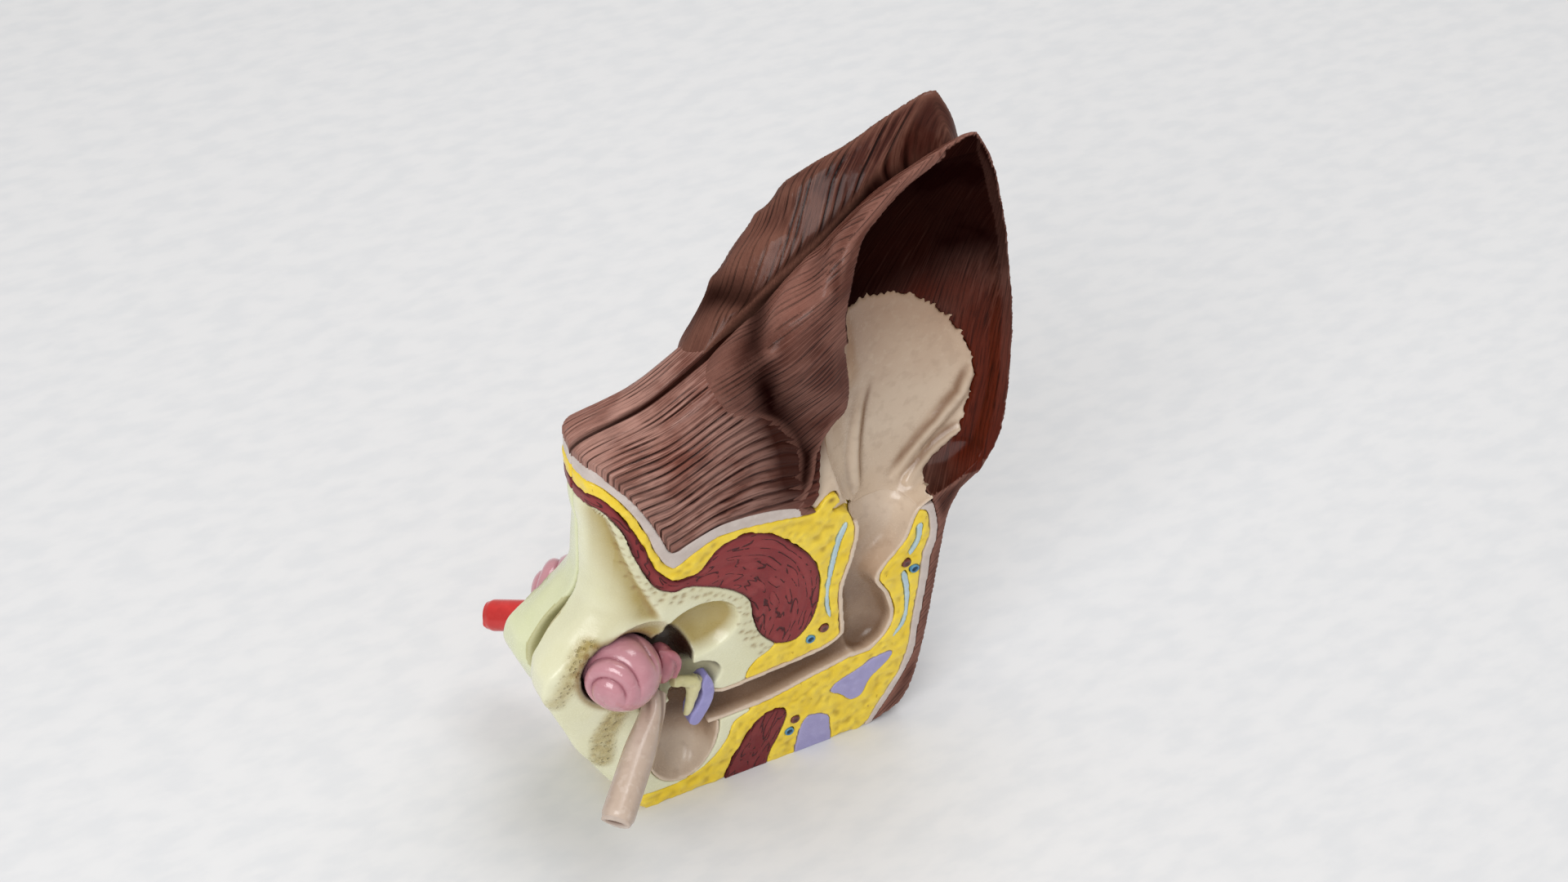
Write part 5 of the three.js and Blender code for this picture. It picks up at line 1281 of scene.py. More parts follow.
@dataclass
class InnerParts:
    """Ear drum, chain of small bones, vestibule, snail shell and auditory tube."""

    grain: float = 0.3
    drum_depth: float = 9.6
    drum_proud: float = 0.8
    drum_ball: Ball = ((16.2, HALF_DEPTH, 33.4), (7.6, 5.4, 9.6))
    bones: tuple = (
        (((15.2, -0.8, 41), (14.4, -0.6, 38.6), (13.6, -0.4, 34), (12.4, -0.4, 29.2)), (1.6, 2, 1.3, 0.8)),
        (((14.6, -0.8, 40), (11.6, -0.6, 41.6), (8.6, -0.8, 42.6)), (1.9, 1.4, 1.5)))
    vestibule_ball: Ball = ((6.2, HALF_DEPTH - 2.6, 48.6), (3.7, 4.4, 5.8))
    vestibule_loop: tuple = (((5, -1.8, 53.6), (8.2, -0.6, 52.4), (9.8, -0.4, 48.8), (8.4, 0, 45)),
                             (1, 1.1, 1.1, 0.9))
    shell_centre: tuple = (-4.8, HALF_DEPTH - 1, 52.2)
    shell_radius: float = 9.6
    shell_room: float = 0.3
    shell_axis: tuple = (-0.68, 0.7, -0.22)
    shell_turns: tuple = ((0, 0), (0.8, 1), (1.36, 2), (2.5, 3))
    shell_groove: float = 1.3
    worn_way: tuple = (0.64, 0.5, -0.58)
    tube_run: tuple = ((4.4, -1.8, 39.3), (1.2, 2.6, 37.5), (-6.2, 10.4, 33.7), (-17.3, 21.9, 28.3))
    tube_radii: tuple = (2.7, 3.1, 4, 4.1)
    tube_mouth: tuple = (  # share of the radius, place past the end, flatness and painted shade of each ring
        (0.86, 0.25, 0.5, 0.0), (0.62, 0.35, 0.5, 0.3), (0.5, 0.0, 0.22, 0.8), (0.46, -1.6, 0.22, 1.0),
        (0.4, -4.5, 0.22, 1.0))

    def drum_room(self, gap: float = JOINT_GAP) -> Solid:
        """Room for the ear drum in what it stands in."""
        room = Solid.room(np.array(EARDRUM, float), HALF_DEPTH - self.drum_depth - gap, gap)
        return room.keep(Solid.ball(*self.drum_ball, gap))

    def eardrum(self) -> Casting:
        """Curved petal of the ear drum."""
        outline = catmull(EARDRUM, 60, closed=True)[:-1]
        petal = Solid.bar(outline, HALF_DEPTH - self.drum_depth, HALF_DEPTH + self.drum_proud)
        return petal.keep(Solid.ball(*self.drum_ball)).cast(self.grain, 6).light_and_shade_by_curvature()

    def ossicles(self) -> Casting:
        """Irregular chain of small bones, joined end to end, from the drum to the vestibule."""
        first, second = (Solid.rod(at_face(run), radii) for run, radii in self.bones)
        whole = first.join(second).take(self.drum_room(), self.vestibule_form(JOINT_GAP))
        return whole.cast(self.grain, 5).waved(0.22, 1.6, 61).light_and_shade_by_curvature()

    def vestibule_form(self, extra: float = 0) -> Solid:
        """Egg-shaped chamber with one canal looped over it."""
        run, radii = self.vestibule_loop
        return Solid.ball(*self.vestibule_ball, extra).join(Solid.rod(at_face(run), radii, extra))

    def vestibule(self) -> Casting:
        """Chamber beside the snail shell."""
        room = Solid.ball(self.shell_centre, (self.shell_radius + self.shell_room,) * 3)
        return self.vestibule_form().take(room).cast(self.grain, 5).waved(0.1, 1.8, 62).light_and_shade_by_curvature()

    def cochlea(self, rows: int = 190, columns: int = 170) -> Casting:
        """Snail shell: a band winds round a ball, point = c + r (up cos l + (side cos t + across sin t) sin l).

        Args:
            rows: rings from the tip of the shell.
            columns: points round it. The band's number w grows with l over a width that narrows away from the
                side that faces up, and with t / 2 pi; it bulges by |sin(pi w)|^0.6 between two grooves.
        Returns:
            A closed surface, its grooves darkened with painted shade.
        """
        up = unit(np.array(self.shell_axis))
        side = unit(np.array((0, 0, 1)) - up[2] * up)
        across = np.cross(up, side)
        lean = np.linspace(0.02, 2.7, rows)[:, None]
        turn = np.linspace(0, 2 * math.pi, columns, endpoint=False)[None, :]
        width = 0.5 + 0.5 * ((1 + np.cos(turn)) / 2) ** 2
        wound = np.interp(lean / width, *np.array(self.shell_turns).T) + turn / (2 * math.pi)
        bulge = np.abs(np.sin(wound * math.pi)) ** 0.6
        way = np.cos(lean)[..., None] * up + np.sin(lean)[..., None] * (
            np.cos(turn)[..., None] * side + np.sin(turn)[..., None] * across)
        fade = eased(lean, 0.05, 0.3) * (1 - eased(lean, 2.1, 2.5)) * (
            1 - 0.8 * eased(way @ np.array(self.worn_way), 0.15, 0.75)) * (
                0.15 + 0.85 * eased(np.cos(turn + 0.5), -0.5, 0.3))
        reach = self.shell_radius - self.shell_groove * (1 - bulge) * fade
        casting = Solid.loft(np.array(self.shell_centre) + way * reach[..., None]).plain()
        return casting.painted(shade=(np.clip(1 - bulge * 1.6, 0, 1) * fade * 0.6).ravel())

    def tube_form(self, extra: float = 0) -> Solid:
        """The auditory tube as a plain tapered rod."""
        return Solid.rod(at_face(self.tube_run), self.tube_radii, extra)

    def auditory_tube(self, rows: int = 150, sides: int = 96) -> Casting:
        """Tube with a creased root and a hollow slit in its cut end.

        Args:
            rows: rings along the tube.
            sides: points round it.
        Returns:
            A closed surface: centre(s) + r(s, a) (n cos a + b sin a), then the end drawn in to a slit.
        """
        run = catmull(at_face(self.tube_run), rows)
        way = unit(np.gradient(run, axis=0))
        aside = unit(np.cross(way, (0, 0, 1)))
        other = np.cross(aside, way)
        s = np.linspace(0, 1, rows + 1)[:, None]
        a = np.linspace(0, 2 * math.pi, sides, endpoint=False)
        n, b = np.cos(a)[:, None], np.sin(a)[:, None]
        crease = 0.16 * (1 - eased(s, 0.25, 0.6)) * np.sin(a * 5 + 9 * s) + 0.05 * np.sin(a * 3 + 4)
        radius = through((0, 0.33, 0.66, 1), self.tube_radii, s[:, 0])[:, None]
        radius = (radius * (1 + 0.06 * np.sin(a + 1.1)) + crease) * (1 - 0.12 * eased(s, 0.965, 1))
        rings = run[:, None] + (aside[:, None] * n + other[:, None] * b) * radius[..., None]
        mouth = [run[-1] + way[-1] * past + (aside[-1] * n + other[-1] * b * flat) * share * self.tube_radii[-1]
                 for share, past, flat, _ in self.tube_mouth]
        casting = Solid.loft(np.concatenate([rings, np.stack(mouth)])).plain()
        # Creases and the slit in the cut end painted dark: painted shade.
        dark = np.repeat(np.array(self.tube_mouth)[:, 3:], sides, 1)
        return casting.painted(shade=np.concatenate([-crease * 4, dark]).ravel())


@dataclass
class Inlays:
    """Coloured castings set into the fat, and the locating pegs."""

    forms: Forms
    grain: float = 0.32
    cartilage_width: float = 1.3
    muscle_run: tuple = ((37, 19), (33, 8), (28, -4))
    vessel_radius: float = 1.25
    vein: tuple = ((1, -CAST_DEPTH, 0), (1, 0, 0), (0.96, 0.14, 0), (0.84, 0.24, 0), (0.7, 0.2, 0.2),
                   (0.6, 0.02, 0.8), (0.5, -0.2, 1), (0.2, -0.28, 1), (0.03, -0.3, 1))
    artery: tuple = ((1, -CAST_DEPTH, 0.3), (1, 0, 0.3), (0.94, 0.13, 0.1), (0.75, 0.22, 0), (0.5, 0.2, 0.3),
                     (0.3, 0.12, 0.7), (0.03, 0.1, 0.8))
    proud: float = 0.12
    peg_radius: float = 2.5
    peg_reach: float = 5.0
    peg_edge: float = 0.7
    peg_centre: float = 0.1

    @cached_property
    def outlines(self) -> dict[str, Array]:
        """Closed outline of each casting."""
        closed = {"lower_muscle": LOWER_MUSCLE, "parotid_gland": PAROTID_GLAND, "lymph_node": LYMPH_NODE}
        strips = {"concha": CONCHA_CARTILAGE, "tragus": TRAGUS_CARTILAGE, "annular": ANNULAR_CARTILAGE}
        return {name: smooth(run, True) for name, run in closed.items()} | {
            f"{name}_cartilage": self.strip(run) for name, run in strips.items()}

    def strip(self, run: Iterable[Sequence[float]]) -> Array:
        """Blade of cartilage along a run, rounded and a little wider at its top.

        Args:
            run: x, z points of its middle line.
        Returns:
            A closed outline.
        """
        line = smooth(run)
        s = np.linspace(0, 1, len(line))
        width = self.cartilage_width / 2 * (1.25 - 0.45 * eased(s, 0, 0.6)) * np.sqrt(
            np.clip(np.minimum(s, 1 - s) * 14, 0.12, 1))
        return np.vstack([pushed(line, width), pushed(line, -width)[::-1]])

    def casting(self, name: str) -> Casting:
        """One casting, a little proud of the fat and softened at its rim.

        Args:
            name: which of the outlines.
        Returns:
            Its surface; the muscle has fibres and a dark rim.
        """
        outline = self.outlines[name]
        whole = Solid.bar(outline, HALF_DEPTH - CAST_DEPTH, HALF_DEPTH + self.proud)
        casting = whole.keep(Solid.slab(0, 200)).cast(self.grain)
        if name != "lower_muscle":
            return casting.waved(0.06, 2, 71).light_and_shade_by_curvature()
        casting.flow = Section.run_flow(casting, self.muscle_run)
        shaped = casting.waved(0.06, 2, 71).light_and_shade_by_curvature()
        gap = near_line(shaped.flat, outline, closed=True)[1]
        return shaped.painted(shade=1 - 0.7 * eased(gap, 0.1, 0.8))

    def turned(self, place: Sequence[float], stations: Sequence[tuple[float, float, float]]) -> Casting:
        """A round piece about an axis along y.

        Args:
            place: x, z of the axis.
            stations: radius, y and paint at each ring, from one end to the other.
        Returns:
            A closed surface: x + r cos a, y, z + r sin a.
        """
        turn = np.linspace(0, 2 * math.pi, 40, endpoint=False)
        radius, depth, shade = np.array(stations, float).T[..., None]
        casting = Solid.skin(place[0] + radius * np.cos(turn), depth, place[1] + radius * np.sin(turn)).plain()
        return casting.painted(shade=np.repeat(shade, len(turn)))

    def vessel(self, place: Sequence[float], hollow: bool) -> Casting:
        """A cut vessel: a vein has a raised wall round a dark middle, an artery a low dome."""
        return self.turned(place, [(share * self.vessel_radius, HALF_DEPTH + out, shade)
                                   for share, out, shade in (self.vein if hollow else self.artery)])

    def peg(self, place: Sequence[float]) -> Casting:
        """A locating peg with rounded ends.

        Args:
            place: x, z of its axis.
        Returns:
            A closed surface.
        """
        flat, end, soft = self.peg_radius - self.peg_edge, self.peg_reach, self.peg_edge
        tip = [(flat + soft * math.sin(t) if t else self.peg_centre, -end + soft - soft * math.cos(t), 0.0)
               for t in np.linspace(0, math.pi / 2, 6)]
        return self.turned(place, tip + [(radius, -depth, 0.0) for radius, depth, _ in tip[::-1]])


def linear(colour: Colour) -> tuple[float, float, float, float]:
    """A written colour (#rrggbb) as scene-linear values."""
    values = [int(colour[k:k + 2], 16) / 255 for k in (1, 3, 5)]
    return (*(v / 12.92 if v <= 0.04045 else ((v + 0.055) / 1.055) ** 2.4 for v in values), 1.0)


class Signal:
    """A socket's value in an expression: its operators add Math nodes."""

    def __init__(self, paint: "Paint", socket: bpy.types.NodeSocket) -> None:
        """Keeps the socket."""
        self.paint, self.socket = paint, socket

    def _math(self, operation: str, first: object, second: object = 0.0) -> "Signal":
        """One Math node."""
        return self.paint.node("ShaderNodeMath", {"operation": operation}, {0: first, 1: second})

    def __add__(self, other: object) -> "Signal":
        """self + other."""
        return self._math("ADD", self, other)

    __radd__ = __add__

    def __sub__(self, other: object) -> "Signal":
        """self - other."""
        return self._math("SUBTRACT", self, other)

    def __rsub__(self, other: object) -> "Signal":
        """other - self."""
        return self._math("SUBTRACT", other, self)

    def __mul__(self, other: object) -> "Signal":
        """self * other."""
        return self._math("MULTIPLY", self, other)

    __rmul__ = __mul__

    def sine(self) -> "Signal":
        """Sine of the value."""
        return self._math("SINE", self)

    def size(self) -> "Signal":
        """The value without its sign."""
        return self._math("ABSOLUTE", self)

    def eased(self, low: float, high: float) -> "Signal":
        """0 below low, 1 above high, smooth between."""
        return self.paint.node("ShaderNodeMapRange", {"interpolation_type": "SMOOTHSTEP"},
                               {"Value": self, "From Min": low, "From Max": high})


class Paint:
    """The nodes of one material."""

    def __init__(self, name: str) -> None:
        """Starts a material with a Principled surface."""
        self.material = bpy.data.materials.new(name)
        self.material.use_nodes = True
        self.tree = self.material.node_tree
        self.shader = self.tree.nodes["Principled BSDF"]

    def node(self, kind: str, settings: dict[str, object], inputs: dict[int | str, object],
             output: int | str = 0) -> Signal:
        """One node.

        Args:
            kind: node type.
            settings: properties, set first.
            inputs: a value or Signal for each socket.
            output: which output to give.
        Returns:
            The output as a Signal.
        """
        node = self.tree.nodes.new(kind)
        for key, value in settings.items():
            setattr(node, key, value)
        for key, value in inputs.items():
            if isinstance(value, Signal):
                self.tree.links.new(value.socket, node.inputs[key])
            else:
                node.inputs[key].default_value = value
        return Signal(self, node.outputs[output])

    def place(self) -> Signal:
        """Object coordinates in millimetres."""
        return self.stretched(self.node("ShaderNodeTexCoord", {}, {}, "Object"), (1000, 1000, 1000))

    def flow(self) -> Signal:
        """The piece's own flow coordinates in millimetres."""
        return self.node("ShaderNodeUVMap", {"uv_map": "flow"}, {})

    def layer(self, name: str) -> Signal:
        """A paint layer of the piece."""
        return self.node("ShaderNodeAttribute", {"attribute_name": name}, {}, "Fac")

    def stretched(self, vector: Signal, scale: Sequence[float]) -> Signal:
        """A vector times another."""
        return self.node("ShaderNodeVectorMath", {"operation": "MULTIPLY"}, {0: vector, 1: tuple(scale)})

    def part(self, vector: Signal, axis: str) -> Signal:
        """One component of a vector."""
        return self.node("ShaderNodeSeparateXYZ", {}, {0: vector}, axis)

    def noise(self, vector: Signal, size: float, detail: float = 2.0, distortion: float = 0.0) -> Signal:
        """Noise from 0 to 1 with features of a size."""
        return self.node("ShaderNodeTexNoise", {}, {"Vector": vector, "Scale": 1 / size, "Detail": detail,
                                                    "Distortion": distortion})

    def cells(self, vector: Signal, size: float, feature: str = "F1") -> Signal:
        """Distance in a field of cells."""
        return self.node("ShaderNodeTexVoronoi", {"feature": feature}, {"Vector": vector, "Scale": 1 / size},
                         "Distance")

    def mix(self, factor: object, first: object, second: object) -> Signal:
        """Colour between two colours."""
        inputs = {0: factor}
        for key, value in ((6, first), (7, second)):
            inputs[key] = linear(value) if isinstance(value, str) else value
        return self.node("ShaderNodeMix", {"data_type": "RGBA", "clamp_factor": True}, inputs, 2)

    def set(self, socket: str, value: object) -> None:
        """A value or Signal for a socket of the surface."""
        if isinstance(value, Signal):
            self.tree.links.new(value.socket, self.shader.inputs[socket])
        else:
            self.shader.inputs[socket].default_value = value


# Colour of the painted shadow in the bone's pits.
PIT_SHADOW = "#2c130c"


class Grain(Enum):
    """How a finish is worked."""

    PLAIN = "plain"
    HAIR = "hair"
    FIBRES = "fibres"
    PORES = "pores"
    LOBES = "lobes"


@dataclass(frozen=True)
class Finish:
    """Painted resin: base colours, painted shade in the hollows, painted highlight on the edges, and its worked
    grain.
    """

    slot: str
    body: Colour
    light: Colour
    deep: Colour
    tint: Colour
    shade: Colour
    roughness: float = 0.4
    coat: float = 0.2
    grain: Grain = Grain.PLAIN
    bump: float = 0.03
    cloud_size: float = 9.0
    fleck: float = 0.04
    # How far the painted shade of hollows mixes in, and how far the lighter layer of painted highlight and pale paint
    # mixes in.
    hollow_shade_mix: float = 0.6
    lightening_mix: float = 0.3
    gloss: float = 0.4

    def worked(self, paint: Paint) -> tuple[Signal, Signal, Signal]:
        """Height, dark lines and bright lines of the grain.

        Args:
            paint: the material's nodes.
        Returns:
            The height in millimetres and two masks.
        """
        place = paint.place()
        fine = paint.noise(place, 0.5, 3)
        if self.grain is Grain.HAIR:
            flow = paint.flow()
            line = (paint.part(flow, "Y") * math.pi).sine().size()
            strands = paint.noise(paint.stretched(flow, (0.07, 2.2, 1)), 0.5, 2)
            locks = paint.noise(paint.stretched(flow, (0.05, 0.9, 1)), 1.2, 2)
            # Grooves darkened with painted shade, ridge tops lightened with a painted highlight; thin dark strands
            # are the hair's own colour.
            groove = (1 - line.eased(0.05, 0.6)) * paint.layer("relief")
            thin = 1 - strands.eased(0.38, 0.5)
            bright = line.eased(0.4, 0.95) * strands.eased(0.44, 0.6) * locks.eased(0.38, 0.62)
            return strands * 0.25 - groove * 0.3, groove + thin * 0.45, bright
        if self.grain is Grain.FIBRES:
            flow = paint.flow()
            strokes = paint.noise(paint.stretched(flow, (0.26, 1, 1)), 1.9, 0.5, 0.3)
            broken = paint.noise(place, 2.4, 1).eased(0.44, 0.52)
            cut = (1 - (strokes - 0.5).size().eased(0.006, 0.04)) * broken
            return fine * 0.03 - cut * 0.4, cut, 1 - strokes.eased(0.34, 0.46)
        if self.grain is Grain.PORES:
            pits = paint.cells(place, 1.3).eased(0.14, 0.34)
            rough = paint.layer("relief")
            open_bone = rough * (1 - pits)
            return fine * 0.03 - open_bone * 0.3 + rough * fine * 0.3, open_bone * 0.6, paint.noise(place, 3, 2)
        if self.grain is Grain.LOBES:
            lobes = paint.cells(place, 3, "SMOOTH_F1")
            nicks = paint.noise(paint.stretched(place, (1, 1, 0.5)), 1.1, 1).eased(0.74, 0.8)
            # Creases between lobes darkened with painted shade, lobe tops lightened with a painted highlight; the
            # nicks are the fat's own colour.
            dark = nicks * 0.5 + lobes.eased(0.6, 1) * 0.2
            return fine * 0.04 - lobes * 0.6 - nicks * 0.12, dark, lobes.eased(0.5, 0.1)
        stain = (1 - paint.noise(place, 3, 2).eased(0.3, 0.5)) * 0.2
        return fine * 0.04, stain, paint.noise(place, 2.2, 2).eased(0.55, 0.7)

    def material(self, name: str) -> bpy.types.Material:
        """The finish as a material.

        Args:
            name: the material's name.
        Returns:
            The material, its colour, roughness and bump made of nodes.
        """
        paint = Paint(name)
        place = paint.place()
        cloud = paint.noise(place, self.cloud_size, 3)
        speck = paint.noise(place, 0.7, 3)
        height, dark, bright = self.worked(paint)
        colour = paint.mix(cloud.eased(0.36, 0.64) * 0.5, self.body, self.light)
        # Painted highlight on hair ridges and fat lobes; elsewhere the grain's own lighter tone.
        colour = paint.mix(bright * 0.55, colour, self.light)
        colour = paint.mix(paint.layer("tint") * (cloud * 0.5 + 0.65), colour, self.tint)
        # Painted shade in hair grooves and between fat lobes, with dark strands, nicks, fibres and pits of their own
        # colour.
        colour = paint.mix(dark * 0.85, colour, self.deep)
        colour = paint.mix(speck.eased(0.56, 0.72) * self.fleck, colour, self.deep)
        # Shade layer: mostly painted shade in valleys, seams, hollows, creases and grooves; on the muscle's rim, the
        # pores, the ring round the snail shell and the vessels it is their own darker colour.
        colour = paint.mix(paint.layer("shade") * (0.75 + cloud * 0.4), colour, self.shade)
        # Lighter layer: painted highlight on edges and on the flap's crest, light painted towards the nose, and the
        # paler paint of rims.
        colour = paint.mix(paint.layer("worn") * (speck * 0.5 + 0.5) * self.lightening_mix, colour, self.light)
        # Painted shade in the hollows.
        colour = paint.mix(paint.layer("crevice") * self.hollow_shade_mix, colour, self.shade)
        # Painted shadow in the bone's pits.
        colour = paint.mix(paint.layer("void"), colour, PIT_SHADOW)
        paint.set("Base Color", colour)
        paint.set("Roughness", self.roughness - 0.08 + speck * 0.16 + paint.layer("crevice") * 0.2)
        paint.set("Coat Weight", (1 - paint.layer("shade")) * self.coat)
        paint.set("Specular IOR Level", self.gloss)
        paint.set("Coat Roughness", 0.18)
        paint.set("Normal", paint.node("ShaderNodeBump", {}, {"Strength": 1.0, "Distance": MM,
                                                              "Height": height + speck * self.bump}))
        return paint.material


FINISHES: dict[str, Finish] = {
    "hair": Finish("fur_paint", "#7e5145", "#bf9588", "#220b07", "#7c3524", "#32140d", 0.4, 0.2, Grain.HAIR,
                   0.02, 12, 0.1, 0.5, 0.6, 0.04),
    "flap_hair": Finish("fur_paint", "#512a20", "#8b6155", "#1e0a06", "#672310", "#160504", 0.36, 0.25,
                        Grain.HAIR, 0.02, 12, 0.1, 0.5, 0.9, 0.0),
    "far_flap_hair": Finish("fur_paint", "#44211a", "#775043", "#190805", "#5c2010", "#150504", 0.36, 0.25,
                            Grain.HAIR, 0.02, 12, 0.1, 0.5, 1.0, 0.0),
    "skin": Finish("bare_skin", "#b08f74", "#bda288", "#957860", "#d8c4ad", "#765235", 0.24, 0.35,
                   bump=0.012, cloud_size=14, fleck=0.02),
    "cut_skin": Finish("bare_skin", "#c2b4ac", "#d2c6bf", "#9a877d", "#ddd3cc", "#7a6257", 0.34, cloud_size=5),
    "fat": Finish("fat_paint", "#eac82e", "#f4d84e", "#a87a18", "#c99a20", "#85601a", 0.32, 0.2, Grain.LOBES,
                  gloss=0.25),
    "muscle": Finish("muscle_paint", "#7d2a2d", "#933d3d", "#340a10", "#8e3c40", "#40121a", 0.36, 0.15, Grain.FIBRES,
                     gloss=0.15),
    "bone": Finish("bone_paint", "#dddbb6", "#e6e5c8", "#96854e", "#a5904c", "#8f7040", 0.26, 0.3, Grain.PORES),
    "far_bone": Finish("bone_paint", "#d5d9af", "#dfe1c0", "#94854e", "#9e9450", "#8a7444", 0.26, 0.3, Grain.PORES),
    "canal": Finish("canal_paint", "#bda188", "#c8af97", "#8a6a50", "#dac7b2", "#5c3d24", 0.24, 0.35,
                    bump=0.012, fleck=0.02),
    "inflamed": Finish("inflamed_paint", "#b5443f", "#cf6a5e", "#7c201f", "#d59184", "#6c1a1b", 0.26, 0.4,
                       bump=0.08, cloud_size=4, fleck=0.2),
    "cartilage": Finish("cartilage_paint", "#a9c2cc", "#bfd3da", "#7f9ba8", "#a9c2cc", "#6f8a8f", 0.34),
    "gland": Finish("gland_paint", "#9892c0", "#aaa5d0", "#7a74a6", "#9f99c6", "#6a6490", 0.34),
    "artery": Finish("artery_paint", "#67302a", "#86483c", "#3a1512", "#67302a", "#2c0f0d", 0.32),
    "vein": Finish("vein_paint", "#4c88b2", "#6ea6c8", "#274f72", "#4c88b2", "#12304a", 0.32),
    "cochlea": Finish("cochlea_paint", "#bb7f89", "#c9929a", "#a86874", "#b8707f", "#8c4a58", 0.14, 0.5, gloss=0.6),
    "vestibule": Finish("vestibule_paint", "#a8606a", "#bd7b84", "#6a2530", "#a0525c", "#40141c", 0.22, 0.4),
    "ossicle": Finish("ossicle_paint", "#cbc490", "#dad4aa", "#a3985f", "#d6cf9c", "#8a7c48", 0.3),
    "eardrum": Finish("eardrum_paint", "#8e89c0", "#a39fd2", "#716ca4", "#9590c8", "#5f5a90", 0.22, 0.4),
    "tube": Finish("tube_paint", "#c0ab9a", "#d0bfb1", "#9a8272", "#c8b1a2", "#6c5044", 0.24, 0.35),
    "red_tube": Finish("red_tube_paint", "#bf2422", "#cf3632", "#8d1512", "#cf2420", "#5e0c0c", 0.22, 0.4),
    "peg": Finish("peg_plastic", "#e6e3d8", "#f0eee6", "#c9c4b4", "#e6e3d8", "#a8a392", 0.45, 0.0),
}
LAYERS = ("tint", "shade", "relief", "worn", "crevice", "void")
SHARP_ANGLE = 50


@dataclass
class Workshop:
    """Turns castings into finished pieces in their place."""

    origin_shift: float
    materials: dict[str, bpy.types.Material] = field(default_factory=dict)

    def paint(self, finish: str) -> bpy.types.Material:
        """The material of a finish, made once."""
        if finish not in self.materials:
            self.materials[finish] = FINISHES[finish].material(finish)
        return self.materials[finish]

    def show(self, name: str, casting: Casting, body: str, finish: str, nodes: Sequence[str]) -> None:
        """Makes a piece.

        Args:
            name: the piece's name.
            casting: its surface in millimetres, on its own side.
            body: the CAD body that it rides on.
            finish: its finish.
            nodes: the CAD nodes that it stands for.
        """
        mesh = replace(casting, points=(casting.points + (self.origin_shift, 0, 0)) * MM).mesh(name)
        count = len(casting.points)
        for layer in LAYERS:
            values = np.asarray(casting.paint.get(layer, np.zeros(count)), np.float32)
            mesh.attributes.new(layer, "FLOAT", "POINT").data.foreach_set("value", values)
        flow = casting.flow if casting.flow is not None else casting.flat
        flow = flow if len(flow) > count else flow[casting.corners]
        mesh.uv_layers.new(name="flow").data.foreach_set("uv", flow.astype(np.float32).ravel())
        mesh.materials.append(self.paint(finish))
        mesh.shade_smooth()
        mesh.set_sharp_from_angle(angle=math.radians(SHARP_ANGLE))
        piece = linked(name, mesh)
        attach(piece, body)
        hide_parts(*nodes)
        LOG.info("%s: %d points, finish %s", name, count, finish)


@dataclass(frozen=True)
class Condition:
    """What differs between the healthy half and the infected one."""

    name: str
    side: int
    swollen: bool
    finishes: dict[str, str]


CONDITIONS = (
    Condition("normal", -1, False, {}),
    Condition("infected", 1, True, {
        "skull_bone": "far_bone", "flap_hair": "far_flap_hair", "canal_lining": "inflamed",
        "bulla_lining": "inflamed", "eardrum": "inflamed", "auditory_tube": "red_tube"}),
)
# The other pieces are named like their finishes.
PIECE_FINISHES = {
    "head_hair": "hair", "concha_skin": "skin", "scalp_skin": "cut_skin", "cheek_skin": "cut_skin",
    "fat_body": "fat", "temporal_muscle": "muscle", "lower_muscle": "muscle", "skull_bone": "bone",
    "canal_lining": "canal", "bulla_lining": "canal", "ossicles": "ossicle", "auditory_tube": "tube",
    "parotid_gland": "gland", "lymph_node": "gland", "concha_cartilage": "cartilage",
    "tragus_cartilage": "cartilage", "annular_cartilage": "cartilage",
}
PEG_PLACES = ((24.0, 104.0), (66.0, 14.0), (-10.0, 26.0))


@dataclass
class EarModel:
    """Both halves of the model."""

    workshop: Workshop
    forms: Forms = field(default_factory=Forms)

    def castings(self) -> dict[str, Casting]:
        """Every piece of a half, on the +Y side.

        Returns:
            The castings by name; the swollen lining has its own name.
        """
        hair, section, hollow = Hair(self.forms), Section(self.forms), Hollow(self.forms)
        inner, inlays = InnerParts(), Inlays(self.forms)
        tube, drum = inner.tube_form(0.1), inner.drum_room()
        vessels = [place for pair in VESSEL_PAIRS for place in pair]
        made = {
            "head_hair": hair.head(), "flap_hair": hair.flap(), "concha_skin": hollow.concha_skin(),
            "scalp_skin": section.scalp_skin(), "cheek_skin": section.cheek_skin(),
            "fat_body": section.fat_body(inlays.outlines.values(), vessels),
            "temporal_muscle": section.temporal_muscle(), "skull_bone": section.skull_bone(tube, drum),
            "canal_lining": hollow.canal_lining(False, drum), "swollen_lining": hollow.canal_lining(True, drum),
            "bulla_lining": hollow.bulla_lining(section, tube, drum), "eardrum": inner.eardrum(),
            "ossicles": inner.ossicles(), "cochlea": inner.cochlea(), "vestibule": inner.vestibule(),
            "auditory_tube": inner.auditory_tube()}
        made.update({name: inlays.casting(name) for name in inlays.outlines})
        for number, (artery, vein) in enumerate(VESSEL_PAIRS, 1):
            made[f"artery_{number}"] = inlays.vessel(artery, False)
            made[f"vein_{number}"] = inlays.vessel(vein, True)
        return made

    def build(self) -> None:
        """Builds and dresses both halves and the pegs."""
        made = self.castings()
        for condition in CONDITIONS:
            for name, casting in made.items():
                if name == ("canal_lining" if condition.swollen else "swollen_lining"):
                    continue
                plain = "canal_lining" if name == "swollen_lining" else name
                kind = plain.rstrip("_123")
                node = "fur_cover" if kind.endswith("hair") else plain
                finish = condition.finishes.get(kind, PIECE_FINISHES.get(kind, kind))
                surface = casting.mirrored() if condition.side < 0 else casting
                self.workshop.show(f"{condition.name}_{plain}_cast", surface, f"{condition.name}_half", finish,
                                   [f"{condition.name}_{node}"])
        inlays = Inlays(self.forms)
        for number, place in enumerate(PEG_PLACES, 1):
            self.workshop.show(f"locating_peg_{number}_turned", inlays.peg(place), "normal_half", "peg",
                               [f"locating_peg_{number}"])


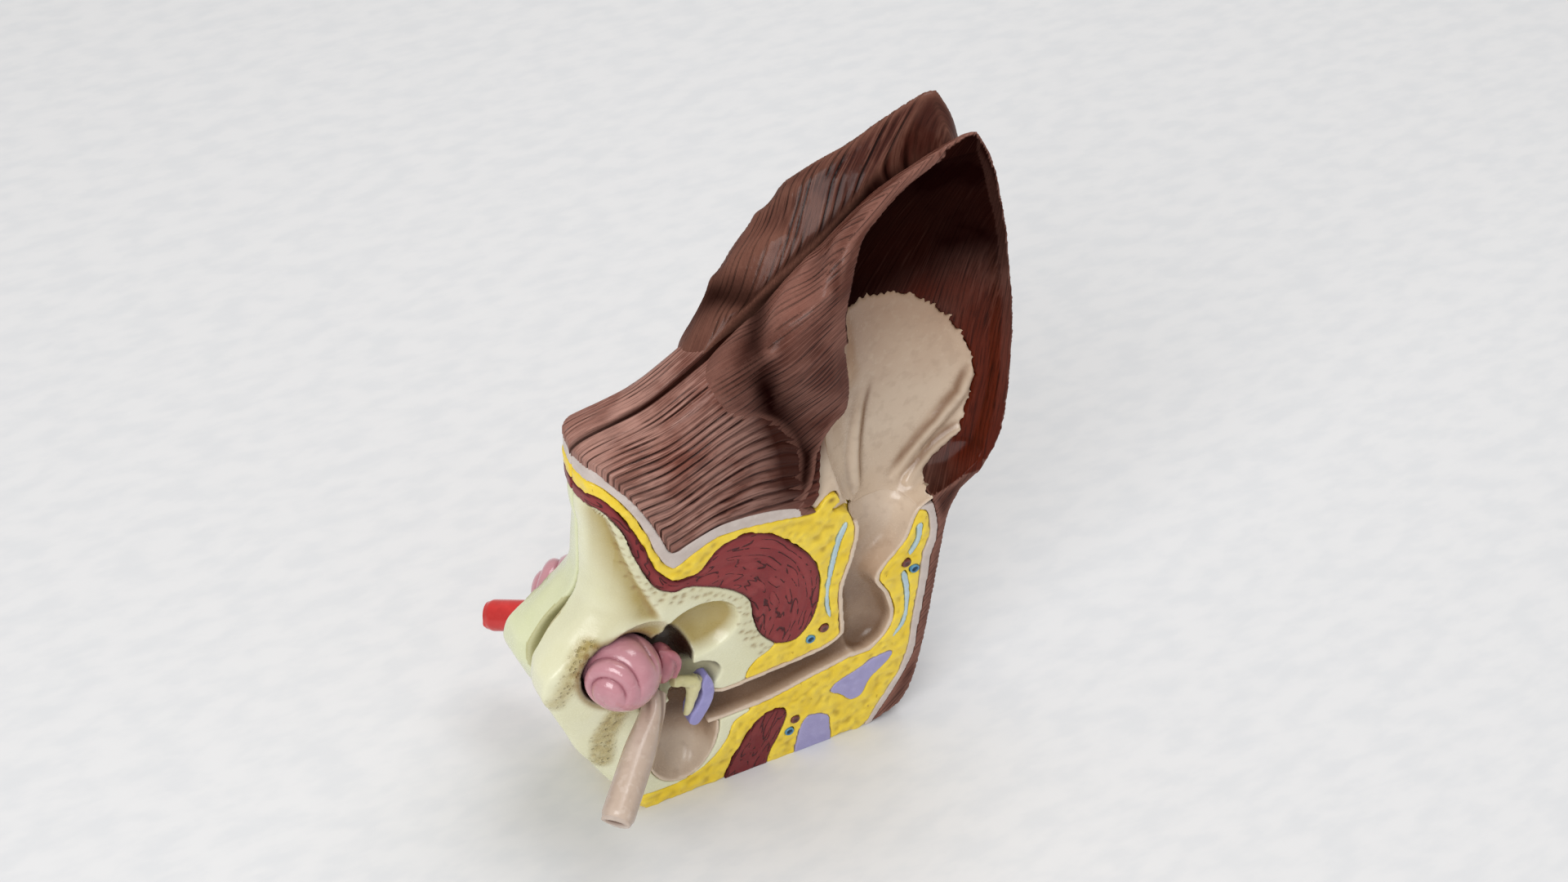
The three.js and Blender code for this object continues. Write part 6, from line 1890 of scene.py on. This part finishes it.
@dataclass
class Studio:
    """Pale floor, soft light and the camera."""

    floor_size: float = 6.0
    floor_colour: Colour = "#dcdcdd"
    floor_shade: Colour = "#d6d7d9"
    turn: float = -30.0
    rise: float = 42.0
    roll: float = 3.0
    lens: float = 60.0
    sensor: float = 36.0
    camera_place: tuple[float, float, float] = (-222.605, -398.9, 509.5)
    world_strength: float = 0.5
    key_place: tuple[float, float, float] = (0.3, 0.15, 1.15)
    key_size: float = 0.7
    key_power: float = 6.5
    fill_place: tuple[float, float, float] = (-0.8, -0.6, 0.8)
    fill_power: float = 8.0
    aim: tuple[float, float, float] = (0, 0, 0.08)
    sky_colour: tuple[float, ...] = (1.0, 0.99, 0.975, 1)

    def floor(self) -> None:
        """A wide pale floor under the model."""
        half = self.floor_size / 2
        mesh = bpy.data.meshes.new("floor")
        mesh.from_pydata([(-half, -half, 0), (half, -half, 0), (half, half, 0), (-half, half, 0)], [], [(0, 1, 2, 3)])
        paint = Paint("floor")
        place = paint.place()
        drift = paint.noise(paint.stretched(place, (0.5, 1, 1)), 6, 3).eased(0.35, 0.7)
        paint.set("Base Color", paint.mix(drift, self.floor_colour, self.floor_shade))
        paint.set("Roughness", 0.7)
        mesh.materials.append(paint.material)
        floor = linked("floor", mesh)

    def lamp(self, name: str, place: Sequence[float], size: float, power: float) -> None:
        """A square soft lamp aimed at the model.

        Args:
            name: the lamp's name.
            place: where it hangs, in metres.
            size: its width.
            power: watts.
        """
        data = bpy.data.lights.new(name, "AREA")
        data.size, data.energy = size, power
        lamp = linked(name, data)
        lamp.location = place
        lamp.rotation_euler = (Vector(self.aim) - Vector(place)).to_track_quat("-Z", "Y").to_euler()

    def world(self) -> None:
        """An even pale sky."""
        world = bpy.data.worlds.new("sky")
        world.use_nodes = True
        sky = world.node_tree.nodes["Background"]
        sky.inputs["Color"].default_value = self.sky_colour
        sky.inputs["Strength"].default_value = self.world_strength
        bpy.context.scene.world = world

    def camera(self) -> None:
        """The camera at the photograph's angle: turned about z, raised, then rolled."""
        a, e, r = (math.radians(v) for v in (self.turn, self.rise, self.roll))
        back = Vector((math.sin(a) * math.cos(e), -math.cos(a) * math.cos(e), math.sin(e)))
        right = Vector((math.cos(a), math.sin(a), 0))
        up = back.cross(right)
        across = right * math.cos(r) + up * math.sin(r)
        over = up * math.cos(r) - right * math.sin(r)
        data = bpy.data.cameras.new("camera")
        data.lens, data.sensor_width = self.lens, self.sensor
        data.clip_start, data.clip_end = 0.01, 100
        camera = linked("camera", data)
        matrix = Matrix((across, over, back)).transposed().to_4x4()
        matrix.translation = Vector(self.camera_place) * MM
        camera.matrix_world = matrix
        bpy.context.scene.camera = camera

    def build(self) -> None:
        """Floor, sky, lamps and camera."""
        self.floor()
        self.world()
        self.lamp("key", self.key_place, self.key_size, self.key_power)
        self.lamp("fill", self.fill_place, self.key_size, self.fill_power)
        self.camera()
        bpy.context.scene.view_settings.view_transform = "Standard"


def main() -> None:
    """Builds the model and its studio."""
    logging.basicConfig(level=logging.INFO, format="%(message)s")
    low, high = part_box("locating_peg_1")
    shift = (low.x + high.x) / 2 / MM - PEG_X
    EarModel(Workshop(shift)).build()
    Studio().build()


if __name__ == "__main__":
    main()
